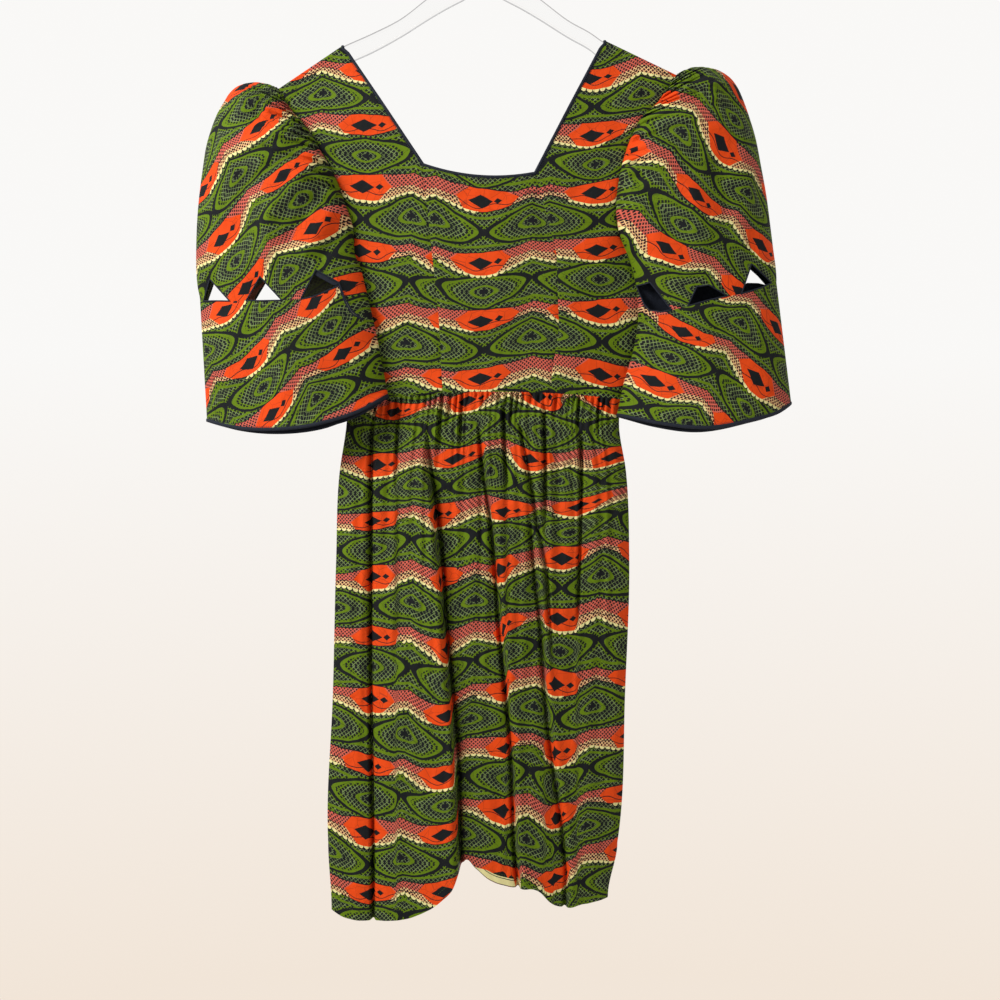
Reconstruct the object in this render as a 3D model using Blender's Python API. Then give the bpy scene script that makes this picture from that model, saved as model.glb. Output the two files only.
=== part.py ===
# An ankara wax print dress with puff sleeves, hanging on a clear plastic hanger.
# Metres, +Z up. The origin is the inner top of the hanger's hook, +X is to the right of
# someone who looks at the front, and the front faces -Y.
# Heights in the tables are drops below the hook, and "out" is a distance from the centre line.

import math
from collections import namedtuple

import bmesh
import bpy
import numpy as np
from mathutils import Vector

MM = 0.001

# Driving dimensions, in millimetres
CLOTH = 1.2                # one thickness of the built cloth wall
SEAM = 0.4                 # space between two pieces along a seam
SEAM_PLANE = 0.15          # half the space where a front meets a back
SHOULDER_HALF = 4.3        # half the thickness of the shoulder over the hanger
WAIST_DROP = 569.5         # waist seam at the centre
WAIST_SAG = 9.0            # how much lower the waist seam is at the sides
GATHERS = 26               # gathers along the waist on each of the front and the back
BINDING_WIDTH = 3.2
BINDING_THICKNESS = 1.3
CUFF_BINDING_THICKNESS = 1.5
HANGER_HALF = 2.0          # half the thickness of the hanger's plate
HOOK_WIRE = 3.4            # diameter of the hook
HOOK_RADIUS = 19.0         # inner radius of the hook
HANGER_TOP = 74.0          # drop of the hanger's flat top, where the hook stands
SHOULDER_ROLL = 0.8        # drop in which the cloth turns over the shoulder
FILL_DROP = 120            # drop below the shoulder where the body has its full depth
SIDE_ROUND = 0.85          # how the depth falls off towards the side seams: 1 is a parabola
BODICE_BLUNT = 1.6         # how blunt the side seams are on the bodice
SKIRT_BLUNT = 5.6          # and on the gathered skirt

# The body of the dress at each height: its side edges and how deep the front and back stand.
# Above the underarm the side edges lie outside the cloth and only set its roundness.
Body = namedtuple("Body", "drop left right front back")
BODY = (
    Body(150, 640, 620, 12, 9),
    Body(214, 560, 545, 14, 10),
    Body(300, 330, 325, 16, 11),
    Body(360, 222, 222, 19, 13),
    Body(406, 187, 191, 20, 14),
    Body(440, 185, 190, 20, 14),
    Body(490, 180, 187, 19, 14),
    Body(565, 161, 163, 16, 12),
    Body(580, 159, 160, 16, 12),
    Body(607, 161, 158, 20, 14),
    Body(662, 169, 166, 24, 16),
    Body(765, 173, 170, 26, 17),
    Body(929, 177, 165, 27, 17),
    Body(1081, 183, 159, 28, 17),
    Body(1178, 178, 144, 28, 17),
)

# Shoulder seams: from the neck point to the sleeve's head
Shoulder = namedtuple("Shoulder", "neck_out neck_drop tip_out tip_drop")
SHOULDERS = {-1: Shoulder(166, 164, 240, 214), 1: Shoulder(142, 158, 225, 198)}

# The straight side of the neckline, its corner, and the princess seam below it
Inner = namedtuple("Inner", "drop out")
INNER_EDGES = {
    -1: (Inner(164, 166), Inner(307, 71), Inner(429, 58), Inner(496, 51), Inner(572, 48)),
    1: (Inner(158, 142), Inner(317, 60), Inner(408, 84), Inner(496, 87), Inner(572, 75)),
}
NECK_SAG = 9.0             # how far the neckline's bottom edge dips between its corners

# Sleeve rows from the shoulder tip down: the outer outline, and the seam on the front and back.
# The last rows leave the armhole and follow the fold that hangs in front of the bodice.
Row = namedtuple("Row", "edge_out edge_drop front_out front_drop back_out back_drop depth")
SLEEVE_ROWS = {
    -1: (
        Row(240, 214, 240, 214, 240, 214, 0),
        Row(256, 208, 236, 222, 237, 222, 8),
        Row(272, 207, 230, 232, 231, 234, 14),
        Row(287, 211, 223, 242, 224, 246, 20),
        Row(297, 219, 215, 251, 217, 259, 25),
        Row(304, 230, 207, 260, 210, 273, 29),
        Row(312, 244, 197, 276, 203, 290, 32),
        Row(319, 262, 188, 292, 197, 307, 35),
        Row(325, 283, 179, 308, 192, 324, 37),
        Row(329, 309, 169, 328, 188, 342, 39),
        Row(333, 340, 160, 354, 185, 362, 40),
        Row(335.5, 370, 152, 378, 184, 377, 40),
        Row(336.5, 400, 151, 398, 185, 392, 40),
        Row(336.5, 425, 149, 412, 187, 406, 39),
        Row(335, 445, 143, 425, 158, 421, 38),
        Row(332.5, 458, 137, 449, 137, 449, 37),
        Row(332, 464, 126, 494, 126, 494, 36),
    ),
    1: (
        Row(225, 198, 225, 198, 225, 198, 0),
        Row(236, 192, 221, 205, 222, 206, 8),
        Row(249, 189, 216, 212, 218, 217, 14),
        Row(262, 190, 210, 220, 214, 228, 20),
        Row(275, 193.5, 203, 231, 209, 241, 25),
        Row(288, 202, 194, 240, 205, 255, 29),
        Row(297, 214, 184, 249, 201, 270, 32),
        Row(304, 230, 176, 263, 197, 287, 35),
        Row(311, 250, 168, 281, 194, 304, 37),
        Row(318, 274, 161, 303, 191, 322, 39),
        Row(324, 305, 156, 327, 189, 342, 40),
        Row(330, 338, 153.5, 352, 188, 364, 40),
        Row(334, 368, 155, 375, 189, 387, 40),
        Row(338, 400, 160, 395, 191, 406, 39),
        Row(341, 422, 168, 413, 172, 416, 38),
        Row(342, 434, 173, 429, 173, 429, 37),
        Row(342, 441, 177, 446, 177, 446, 36),
    ),
}
CORNER_ROW = 9             # this row of the bodice ends at the corner of the neckline
ARMHOLE_END = 12           # this row is the last one on the front armhole
UNDERARM = 13              # this row of the sleeve's back ends at the top of the side seam
ARMPITS = {-1: (158, 402), 1: (163, 397)}   # lowest point of each front armhole
SLEEVE_BACK = 0.72         # depth of a sleeve's back against its front
SLEEVE_ROUND = 0.55        # how full a sleeve is across its width: 1 is a parabola
BACK_TUCK = (0.45, 0.12)   # how steeply the back leaves the armhole, at its end and below it
PUCKER = 1.4               # height of the gathers along the sleeve's head
PUCKER_RISE = 10           # they rise over this much cloth from the seam
PUCKER_REACH = 35          # and die away over this much
REST = 2.8                 # a sleeve hangs this far in front of the bodice
REST_ON_GATHERS = 3.0      # and this much further in front of the gathered skirt
REST_MARGIN = 10.0         # it stays in front of the side seam for this far beyond it
REST_SLOPE = 1.1           # and then falls back by this much for each millimetre
FOLD_RISE = 3.2            # space inside the fold of a sleeve that hangs in front

# Where the sleeve's pointed edge and the cuff meet: equal drops are sewn, others are windows
Join = namedtuple("Join", "out sleeve cuff")
JOINS = {
    (-1, "front"): (
        Join(332, 464, 464), Join(329.5, 464, 464), Join(326, 464, 464), Join(317, 439, 465),
        Join(304, 453, 466), Join(291, 467, 467), Join(271.5, 467, 467), Join(255, 440, 468),
        Join(242, 454, 468), Join(229, 468, 468), Join(208, 467, 467), Join(191, 433, 463),
        Join(178, 440, 457), Join(165, 447, 451), Join(158, 465, 470), Join(150, 479, 483),
        Join(138, 488.5, 488.5), Join(129, 493, 493), Join(126, 494, 494)),
    (-1, "back"): (
        Join(332, 464, 464), Join(329.5, 464, 464), Join(326, 464, 464), Join(317, 439, 465),
        Join(304, 453, 466), Join(291, 467, 467), Join(271.5, 467, 467), Join(255, 440, 468),
        Join(242, 454, 468), Join(229, 468, 468), Join(210.5, 465, 465), Join(190, 466, 466),
        Join(170, 472, 472), Join(151, 482, 482), Join(138, 488.5, 488.5), Join(129, 493, 493),
        Join(126, 494, 494)),
    (1, "front"): (
        Join(342, 441, 441), Join(340, 441.5, 441.5), Join(333.5, 443.5, 443.5),
        Join(321, 434, 450), Join(307.5, 423.5, 455), Join(295, 459, 459), Join(279, 462, 462),
        Join(257, 449.5, 467), Join(243, 451.5, 471), Join(232.5, 474, 474), Join(215, 478, 478),
        Join(203, 461, 479.5), Join(191, 444.5, 477), Join(185, 446, 470), Join(179.5, 446.5, 455),
        Join(177, 446, 446)),
    (1, "back"): (
        Join(342, 441, 441), Join(340, 441.5, 441.5), Join(333.5, 443.5, 443.5),
        Join(322, 431, 441), Join(309, 420, 441), Join(298, 449, 449), Join(280, 456, 456),
        Join(268, 461, 461), Join(256, 464, 464), Join(237, 468, 468), Join(224, 470, 470),
        Join(210, 471, 471), Join(196.5, 470, 470), Join(186, 461, 461), Join(179.5, 451, 451),
        Join(177, 446, 446)),
}

# The flared cuffs: lower corners, how far their inner edge bows out, and the hem's curve
Hem = namedtuple("Hem", "out drop")
CUFF_HEMS = {
    -1: (Hem(111, 573), Hem(132, 587), Hem(187, 607), Hem(234, 613), Hem(291, 609), Hem(324, 600)),
    1: (Hem(154.5, 595), Hem(201, 606), Hem(256, 611), Hem(309, 601), Hem(339, 592), Hem(359, 580)),
}
CUFF_BOW = {-1: (0, 0, 0, 0, 0), 1: (0, 10, 11, 6, 0)}
CUFF_FLARE = 9.0           # how much deeper the cuff is at its hem than at its top

# Skirt rows: how far below the waist seam, the height of the gathers, and every how many columns
SkirtRow = namedtuple("SkirtRow", "below gather step")
SKIRT_ROWS = (
    SkirtRow(0, 0.9, 1), SkirtRow(7, 2.0, 1), SkirtRow(17, 2.4, 1), SkirtRow(38, 2.0, 1),
    SkirtRow(72, 1.2, 1), SkirtRow(115, 1.6, 2), SkirtRow(195, 0.9, 2), SkirtRow(300, 0.5, 2),
    SkirtRow(415, 0.3, 2), SkirtRow(525, 0.3, 2),
)
# The hem of the front, which rides up where the deep fold falls
SKIRT_HEM = (
    Hem(-184, 1171), Hem(-167, 1179), Hem(-120, 1182), Hem(-78, 1174), Hem(-48, 1155),
    Hem(-35, 1140), Hem(-26, 1118), Hem(-22, 1112), Hem(-9, 1121), Hem(4, 1132), Hem(30, 1142),
    Hem(66, 1148), Hem(76, 1159), Hem(117, 1163), Hem(150, 1158),
)
FOLD_APEX = 7              # this point of the hem is where it rides up highest
BACK_HEM_RISE = 7.0        # the back hem is this much shorter, so it stays hidden

# Hanging folds: the line of each through three heights. A lap of 1 has its left side in
# front of its right, -1 the other way round, and 0 is a soft groove.
Fold = namedtuple("Fold", "top_drop top_x mid_drop mid_x end_drop end_x lap depth reach")
FRONT_FOLDS = (
    Fold(690, -131, 870, -131, 1100, -129, 0, 5, 11),
    Fold(622, -69, 890, -38, 1120, -25, 1, 15, 34),
    Fold(629, -22, 878, 25, 1151, 43, -1, 11, 26),
    Fold(680, 54, 880, 69, 1126, 97, -1, 8, 16),
    Fold(650, 111, 730, 110, 860, 108, 0, 5, 10),
    Fold(640, -98, 740, -96, 900, -92, 0, 4, 10),
)
BACK_FOLDS = (
    Fold(640, -120, 880, -116, 1150, -124, 0, 6, 14),
    Fold(620, -40, 880, -52, 1150, -60, 1, 8, 20),
    Fold(630, 30, 880, 40, 1150, 46, -1, 8, 20),
    Fold(650, 104, 880, 108, 1150, 101, 0, 6, 14),
)
FOLD_START = 90            # a fold grows to its depth over this drop, and dies away as slowly
FOLD_EDGE = 2.5            # half the width of the step where one part laps over another
LAP_SHARE = 0.7            # how much of a lap's depth lies on each side of its edge
SKIRT_LENGTH = 600         # depth below the waist over which the waist's curve evens out
SIDE_EASE = 14             # the cloth lies flat over one part in this many next to the sides
HEM_SIDE_DROP = 1172
HEM_GATHER = 0.3

# The hanger's plate at distances from the centre: its upper and lower edges where it shows
Plate = namedtuple("Plate", "out top bottom")
PLATES = {
    -1: (Plate(0, 74, 97), Plate(12, 74, 104), Plate(24, 81, 111), Plate(45, 94, 122),
         Plate(67, 109, 135), Plate(97, 132, 154), Plate(130, 149, 172)),
    1: (Plate(0, 74, 97), Plate(12, 74, 104), Plate(24, 81, 111), Plate(45, 94, 122),
        Plate(67, 110, 135), Plate(97, 133, 154), Plate(122, 147, 168)),
}
PLATE_DEPTH = 23.0         # height of the plate under the shoulder
PLATE_SEAT = 2.0           # its top below the outside of the shoulder seam
PLATE_END_GAP = 17.0       # it ends this far inside the shoulder tip
PLATE_STEPS = 5

ROLL_DROPS = (0.0, 1.3, 4.5)           # rows that turn over the shoulder seam
UNDERARM_STEP = 14                     # space between the bodice's first rows below the underarm
INNER_STEP = 17                        # space between its rows along the princess seams
LOWER_ROWS = (455, 495, 540)           # side seam heights of the bodice below these
BODICE_END = 580                       # side drop of the waist seam, where its last row ends
SIDE_COLUMNS = 4                       # steps across a bodice side, and across the centre
CENTRE_COLUMNS = 6
CUFF_ROWS = 4
HOOK_STEPS = 22

COLOURS = {
    "print": ((0.17, 0.24, 0.02), 0.85, 0.0),
    "navy": ((0.012, 0.016, 0.035), 0.8, 0.0),
    "clear": ((0.86, 0.9, 0.92), 0.08, 0.0),
    "steel": ((0.62, 0.62, 0.63), 0.25, 1.0),
}


def along(table, column, at):
    """The value of a column at a place between a table's rows, along a smooth curve."""
    keys = np.array([row[0] for row in table], float)
    values = np.array([getattr(row, column) for row in table], float)
    slopes = np.gradient(values, keys)
    i = int(np.clip(np.searchsorted(keys, at) - 1, 0, len(keys) - 2))
    step = keys[i + 1] - keys[i]
    s = min(max((at - keys[i]) / step, 0.0), 1.0)
    low = values[i] * (1 + 2 * s) * (1 - s) ** 2 + slopes[i] * step * s * (1 - s) ** 2
    high = values[i + 1] * s * s * (3 - 2 * s) + slopes[i + 1] * step * s * s * (s - 1)
    return low + high


def straight(table, column, at):
    """The value of a column at a place between a table's rows, in straight lines."""
    keys = [row[0] for row in table]
    values = [getattr(row, column) for row in table]
    return float(np.interp(at, keys, values))


def smooth(start, end, at):
    s = min(max((at - start) / (end - start), 0.0), 1.0)
    return s * s * (3 - 2 * s)


def waist_drop(x):
    return WAIST_DROP + WAIST_SAG * ((x - 10) / 160) ** 2


def shoulder_drop(x):
    """Drop of the shoulder line, and of its run inwards past the neck point."""
    side = -1 if x < 0 else 1
    line = SHOULDERS[side]
    slope = (line.tip_drop - line.neck_drop) / (line.tip_out - line.neck_out)
    return line.neck_drop + (abs(x) - line.neck_out) * slope


def body_depth(x, drop, face):
    """How far the front or back of the dress stands from the plane between them."""
    edge = along(BODY, "left" if x < 0 else "right", drop)
    lens = max(1 - (x / edge) ** 2, 0.0) ** SIDE_ROUND
    below = drop - shoulder_drop(x)
    over_plate = (SHOULDER_HALF - SEAM_PLANE) * (1 - math.exp(-max(below, 0) / SHOULDER_ROLL))
    full = (along(BODY, face, drop) - SHOULDER_HALF) * smooth(0, FILL_DROP, below)
    on_skirt = smooth(WAIST_DROP - 10, WAIST_DROP + 20, drop)
    blunt = BODICE_BLUNT + (SKIRT_BLUNT - BODICE_BLUNT) * on_skirt
    return SEAM_PLANE + over_plate * min(blunt * lens, 1.0) + full * lens


def body_y(x, drop, face):
    return body_depth(x, drop, face) * (-1 if face == "front" else 1)


def cloth_material(slot):
    """One Principled material for each kind of surface."""
    found = bpy.data.materials.get(slot)
    if found:
        return found
    colour, roughness, metallic = COLOURS[slot]
    material = bpy.data.materials.new(slot)
    material.use_nodes = True
    shader = material.node_tree.nodes["Principled BSDF"]
    shader.inputs["Base Color"].default_value = (*colour, 1.0)
    shader.inputs["Roughness"].default_value = roughness
    shader.inputs["Metallic"].default_value = metallic
    if slot == "clear":
        shader.inputs["Transmission Weight"].default_value = 0.9
    return material


def add_object(name, bm, slot):
    mesh = bpy.data.meshes.new(name)
    bm.to_mesh(mesh)
    bm.free()
    mesh.shade_smooth()
    mesh.set_sharp_from_angle(angle=math.radians(40))
    mesh.materials.append(cloth_material(slot))
    made = bpy.data.objects.new(name, mesh)
    bpy.context.scene.collection.objects.link(made)
    return made


def wall(name, points, faces, slot, thickness=CLOTH, flat=(), upright=(), level=()):
    """A closed cloth wall. The points, in millimetres, are its outer face and turn
    anticlockwise seen from outside. Rims listed in flat stay on a seam between a front
    and a back, those in upright run straight down, and those in level run straight in."""
    normals = [Vector((0, 0, 0)) for _ in points]
    spots = [Vector(p) for p in points]
    for face in faces:
        a, b, c = (spots[face[k]] for k in (0, 1, 2))
        normal = (b - a).cross(c - a)
        if len(face) == 4:
            normal = (c - a).cross(spots[face[3]] - b)
        for corner in face:
            normals[corner] += normal
    for corner in flat:
        normals[corner].y = 0
    for corner in level:
        normals[corner].z = 0
    for corner in upright:
        normals[corner] = Vector((0, 0, 1))
    bm = bmesh.new()
    outer = [bm.verts.new(p * MM) for p in spots]
    inner = [bm.verts.new((p - n.normalized() * thickness) * MM) for p, n in zip(spots, normals)]
    edges = {}
    for face in faces:
        bm.faces.new([outer[k] for k in face])
        bm.faces.new([inner[k] for k in reversed(face)])
        for k, start in enumerate(face):
            edges[(start, face[(k + 1) % len(face)])] = True
    for start, end in edges:
        if (end, start) not in edges:
            bm.faces.new((outer[end], outer[start], inner[start], inner[end]))
    bmesh.ops.triangulate(bm, faces=bm.faces)
    return add_object(name, bm, slot)


def grid(rows, turned=False):
    """Points and faces of a sheet from rows of equal length, or of twice the next row's
    steps. A first row of one point makes a fan. The rows run down and each row to the right
    as seen from the front, and turned is for a sheet that faces the other way."""
    points, starts = [], []
    for row in rows:
        starts.append(len(points))
        points.extend(row)
    faces = []
    for r in range(len(rows) - 1):
        upper, lower = starts[r], starts[r + 1]
        wide, narrow = len(rows[r]), len(rows[r + 1])
        if wide == 1:
            faces += [(upper, lower + k, lower + k + 1) for k in range(narrow - 1)]
        elif wide == narrow:
            for k in range(wide - 1):
                faces.append((upper + k, lower + k, lower + k + 1, upper + k + 1))
        else:
            for k in range(narrow - 1):
                a = upper + 2 * k
                faces.append((a, lower + k, a + 1))
                faces.append((a + 1, lower + k, lower + k + 1))
                faces.append((a + 1, lower + k + 1, a + 2))
    if turned:
        faces = [tuple(reversed(face)) for face in faces]
    return points, faces, starts


def bodice_rows(side):
    """Where each row of a bodice side starts on the armhole and ends at the neck."""
    rows = SLEEVE_ROWS[side]
    shoulder = SHOULDERS[side]
    corner_drop = INNER_EDGES[side][1].drop
    heights = [shoulder.tip_drop, rows[CORNER_ROW].front_drop, BODICE_END]
    inner_heights = [shoulder.neck_drop, corner_drop, INNER_EDGES[side][-1].drop]

    def neck_end(outer_drop):
        drop = float(np.interp(outer_drop, heights, inner_heights))
        return straight(INNER_EDGES[side], "out", drop), drop

    return rows, neck_end


def armhole(side, face):
    """The armhole edge of a bodice side, from the shoulder tip to the underarm."""
    rows = SLEEVE_ROWS[side]
    points = [(getattr(row, face + "_out"), getattr(row, face + "_drop"))
              for row in rows[1:ARMHOLE_END + 1]]
    top = rows[UNDERARM].back_drop
    drops = (top, top + UNDERARM_STEP, top + 2 * UNDERARM_STEP)
    seam = [(along(BODY, "left" if side < 0 else "right", drop), drop) for drop in drops]
    return points + [ARMPITS[side]] + seam[:2] if face == "front" else points + seam


def bodice_side(side, face):
    """Rows of points of one side of the bodice, from the armhole to the neck or seam."""
    rows, neck_end = bodice_rows(side)
    shoulder = SHOULDERS[side]
    head = rows[1]
    lean = (head.front_out - shoulder.tip_out) / (head.front_drop - shoulder.tip_drop)
    outer = [(shoulder.tip_out + lean * roll, shoulder.tip_drop) for roll in ROLL_DROPS]
    outer += armhole(side, face)
    outer += [(None, drop) for drop in (*LOWER_ROWS, BODICE_END)]
    corner = len(ROLL_DROPS) - 1 + CORNER_ROW
    result = []
    for number, (out, drop) in enumerate(outer):
        roll = ROLL_DROPS[number] if number < len(ROLL_DROPS) else 0.0
        if out is None:
            out = along(BODY, "left" if side < 0 else "right", drop)
        # Rows below the armhole's corner keep their inner ends in order down the seam
        below_corner = number - corner
        level = drop if below_corner <= 0 else max(
            drop, rows[CORNER_ROW].front_drop + below_corner * INNER_STEP)
        in_out, in_drop = neck_end(min(level, BODICE_END))
        row = []
        for k in range(SIDE_COLUMNS + 1):
            u = k / SIDE_COLUMNS
            at_out = out + (in_out - out) * u
            at_drop = drop + (in_drop - drop) * u + roll
            if number == len(outer) - 1:
                at_drop = waist_drop(side * at_out) - SEAM / 2
            row.append((side * at_out, at_drop))
        result.append(row)
    return result


def place(x, drop, y):
    return (x, y, -drop)


def body_sheet(rows, face, shift=0.0):
    """Body points from rows of x and drop, each row from left to right."""
    return [[place(x + shift * side_shift(k, row), drop, body_y(x, drop, face))
             for k, (x, drop) in enumerate(row)] for row in rows]


def side_shift(k, row):
    """Draws the two ends of a row in, so that its seams stay open by a hair."""
    return 1 if k == 0 else -1 if k == len(row) - 1 else 0


def bodice_centre(face):
    """Rows of the centre piece, between the two princess seams."""
    sides = {side: bodice_side(side, face) for side in (-1, 1)}
    first = len(ROLL_DROPS) - 1 + CORNER_ROW
    rows = []
    for left, right in zip(sides[-1][first:], sides[1][first:]):
        start, end = left[-1], right[-1]
        row = []
        for k in range(CENTRE_COLUMNS + 1):
            u = k / CENTRE_COLUMNS
            x = start[0] + (end[0] - start[0]) * u
            drop = start[1] + (end[1] - start[1]) * u
            if not rows:
                drop += NECK_SAG * 4 * u * (1 - u)
            if len(rows) == len(sides[-1]) - first - 1:
                drop = waist_drop(x) - SEAM / 2
            row.append((x, drop))
        rows.append(row)
    return rows


def make_bodice():
    """Three princess-seamed pieces in front and one plain piece behind."""
    for side, label in ((-1, "left"), (1, "right")):
        rows = bodice_side(side, "front")
        if side > 0:
            rows = [list(reversed(row)) for row in rows]
        points, faces, starts = grid(body_sheet(rows, "front", SEAM / 2))
        columns = SIDE_COLUMNS + 1
        outer = 0 if side < 0 else SIDE_COLUMNS
        underarm = len(ROLL_DROPS) + ARMHOLE_END + 1
        seam = [starts[r] + outer for r in range(underarm, len(rows))]
        wall(f"bodice_front_side_{label}", points, faces, "print", flat=seam,
             upright=range(columns), level=range(starts[-1], len(points)))
    points, faces, starts = grid(body_sheet(bodice_centre("front"), "front", SEAM / 2))
    wall("bodice_front_centre", points, faces, "print", level=range(starts[-1], len(points)))


def make_bodice_back():
    """The back: two shoulder pieces that run into one plain panel below the neckline."""
    sheets, found, points, faces = [], {}, [], []
    flat, upright, level = [], [], []
    for side in (-1, 1):
        rows = bodice_side(side, "back")
        if side > 0:
            rows = [list(reversed(row)) for row in rows]
        sheets.append((side, rows))
    sheets.append((0, bodice_centre("back")))
    for side, rows in sheets:
        local, local_faces, starts = grid(body_sheet(rows, "back"), turned=True)
        numbers = []
        for point in local:
            key = tuple(round(v, 3) for v in point)
            if key not in found:
                found[key] = len(points)
                points.append(point)
            numbers.append(found[key])
        faces += [tuple(numbers[k] for k in face) for face in local_faces]
        if side:
            outer = 0 if side < 0 else SIDE_COLUMNS
            underarm = len(ROLL_DROPS) + ARMHOLE_END
            flat += [numbers[starts[r] + outer] for r in range(underarm, len(rows))]
            upright += numbers[:SIDE_COLUMNS + 1]
        level += numbers[starts[-1]:]
    wall("bodice_back", points, faces, "print", flat=flat, upright=upright, level=level)


def neck_path(face):
    """Points round the neckline, from the left neck point down and up to the right one."""
    corner = len(ROLL_DROPS) - 1 + CORNER_ROW
    left = [row[-1] for row in bodice_side(-1, face)[:corner]]
    middle = bodice_centre(face)[0]
    right = [row[-1] for row in bodice_side(1, face)[:corner]]
    return left + middle + right[::-1]


def make_neck_binding(face):
    """A narrow binding on the edge of the neckline."""
    path = neck_path(face)
    front = face == "front"
    rolled = len(ROLL_DROPS)
    edges = [[], []]
    for k, (x, drop) in enumerate(path):
        before, after = path[max(k - 1, 0)], path[min(k + 1, len(path) - 1)]
        along_x, along_drop = after[0] - before[0], after[1] - before[1]
        length = math.hypot(along_x, along_drop)
        y = body_y(x, drop, face)
        for edge, reach in zip(edges, (SEAM, SEAM + BINDING_WIDTH)):
            if rolled <= k < len(path) - rolled:
                edge.append((x + reach * along_drop / length, y,
                             -drop + reach * along_x / length))
                continue
            # Over the shoulder it runs on in the line of the shoulder seam
            on_x = x + reach * (1 if k < rolled else -1)
            edge.append((on_x, y, -drop - shoulder_drop(on_x) + shoulder_drop(x)))
    points, faces, starts = grid(edges, turned=front)
    ends = [0, len(path) - 1, len(path), 2 * len(path) - 1]
    wall(f"neck_binding_{face}", points, faces, "navy", BINDING_THICKNESS, upright=ends)


def rest_y(x, drop):
    """How far back a sleeve can hang where the bodice or the skirt lies behind it."""
    edge = along(BODY, "left" if x < 0 else "right", drop)
    clear = REST + REST_ON_GATHERS * smooth(-10, 0, drop - waist_drop(x))
    if abs(x) < edge:
        return body_y(x, drop, "front") - clear
    return -clear + max(abs(x) - edge - REST_MARGIN, 0) * REST_SLOPE


def fold_y(x, drop):
    """Where the front and back of a sleeve meet along the fold in front of the bodice."""
    return min(rest_y(x, drop), -REST) - FOLD_RISE


def sleeve_y(u, inner_y, depth, face, hanging):
    """Depth of a sleeve or cuff across its width, from the outline (0) to its inner edge."""
    round_part = max(4 * u * (1 - u), 0.0) ** SLEEVE_ROUND
    if face == "front":
        return inner_y * u - depth * round_part
    round_part *= 1 - hanging * u ** 3
    return inner_y * u + SLEEVE_BACK * depth * round_part


def row_columns(side, face):
    """How far across the sleeve each column lies, from the outline (0) to the inner edge."""
    joins = JOINS[side, face]
    first, last = joins[0].out, joins[-1].out
    return [(first - join.out) / (first - last) for join in joins]


def sleeve_sheet(side, face):
    """Points of one half of the upper sleeve, from the shoulder tip to its pointed edge."""
    rows, joins, columns = SLEEVE_ROWS[side], JOINS[side, face], row_columns(side, face)
    last, kept = rows[-1], rows[ARMHOLE_END]
    sign = -1 if face == "front" else 1
    tip = rows[0]
    sheet = [[(side * (tip.edge_out + SEAM), sign * SEAM_PLANE, -tip.edge_drop)]]
    for number, row in enumerate(rows[1:], start=1):
        in_out, in_drop = getattr(row, face + "_out"), getattr(row, face + "_drop")
        hanging = smooth(ARMHOLE_END - 1, UNDERARM + 1, number)
        on_fold = number > (ARMHOLE_END if face == "front" else UNDERARM + 1)
        if on_fold:
            in_y = fold_y(side * in_out, in_drop) + sign * SEAM_PLANE
        elif face == "back" and number >= UNDERARM:
            in_y = rest_y(side * in_out, in_drop)
        else:
            in_y = body_y(side * in_out, in_drop, face)
            if number == ARMHOLE_END and face == "front":
                in_y -= CLOTH + SEAM
        points = []
        for u, join in zip(columns, joins):
            out = row.edge_out + (in_out - row.edge_out) * u
            drop = row.edge_drop + (in_drop - row.edge_drop) * u
            if number > ARMHOLE_END:
                # The lowest rows gather on the pointed edge, without passing it
                kept_in = getattr(kept, face + "_drop")
                top = kept.edge_drop + (kept_in - kept.edge_drop) * u
                edge_part = (row.edge_drop - kept.edge_drop) / (last.edge_drop - kept.edge_drop)
                in_part = (in_drop - kept_in) / (getattr(last, face + "_drop") - kept_in)
                part = edge_part + (in_part - edge_part) * u
                drop = top + (join.sleeve - SEAM / 2 - top) * part
            y = sleeve_y(u, in_y, row.depth, face, hanging)
            from_seam = (row.edge_out - in_out) * (1 - u)
            if number < ARMHOLE_END:
                pucker = (min(from_seam / PUCKER_RISE, 1) * math.exp(-from_seam / PUCKER_REACH)
                          * min(12 * u, 1))
                y += sign * PUCKER * (-1) ** number * pucker
            if 0 < u < 1 and face == "back" and number > UNDERARM:
                y = min(y, rest_y(side * out, drop))
            elif u < 1 and face == "back" and number >= ARMHOLE_END:
                y = min(y, in_y + from_seam * BACK_TUCK[number > ARMHOLE_END])
            if u == 0:
                y = sign * SEAM_PLANE
            if u == 1 and not on_fold:
                out += SEAM
            points.append((side * out, y, -drop))
        sheet.append(points)
    return sheet


def cuff_sheet(side, face):
    """Points of one half of a cuff, from its seam with the sleeve to its hem."""
    joins, columns = JOINS[side, face], row_columns(side, face)
    hem, depth = CUFF_HEMS[side], SLEEVE_ROWS[side][-1].depth
    sign = -1 if face == "front" else 1
    sheet = []
    for number in range(CUFF_ROWS + 1):
        v = number / CUFF_ROWS
        points = []
        for u, join in zip(columns, joins):
            hem_out = hem[-1].out + (hem[0].out - hem[-1].out) * u
            out = join.out + (hem_out - join.out) * v + CUFF_BOW[side][number] * u
            top = join.cuff + SEAM / 2
            drop = top + (along(hem, "drop", hem_out) - top) * v
            points.append((out, drop))
        in_out, in_drop = points[-1]
        in_y = fold_y(side * in_out, in_drop) + sign * SEAM_PLANE
        row = []
        for u, (out, drop) in zip(columns, points):
            y = sleeve_y(u, in_y, depth + CUFF_FLARE * v, face, 1.0)
            if u == 0:
                y = sign * SEAM_PLANE
            elif u < 1 and face == "back":
                y = min(y, rest_y(side * out, drop))
            row.append((side * out, y, -drop))
        sheet.append(row)
    return sheet


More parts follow.
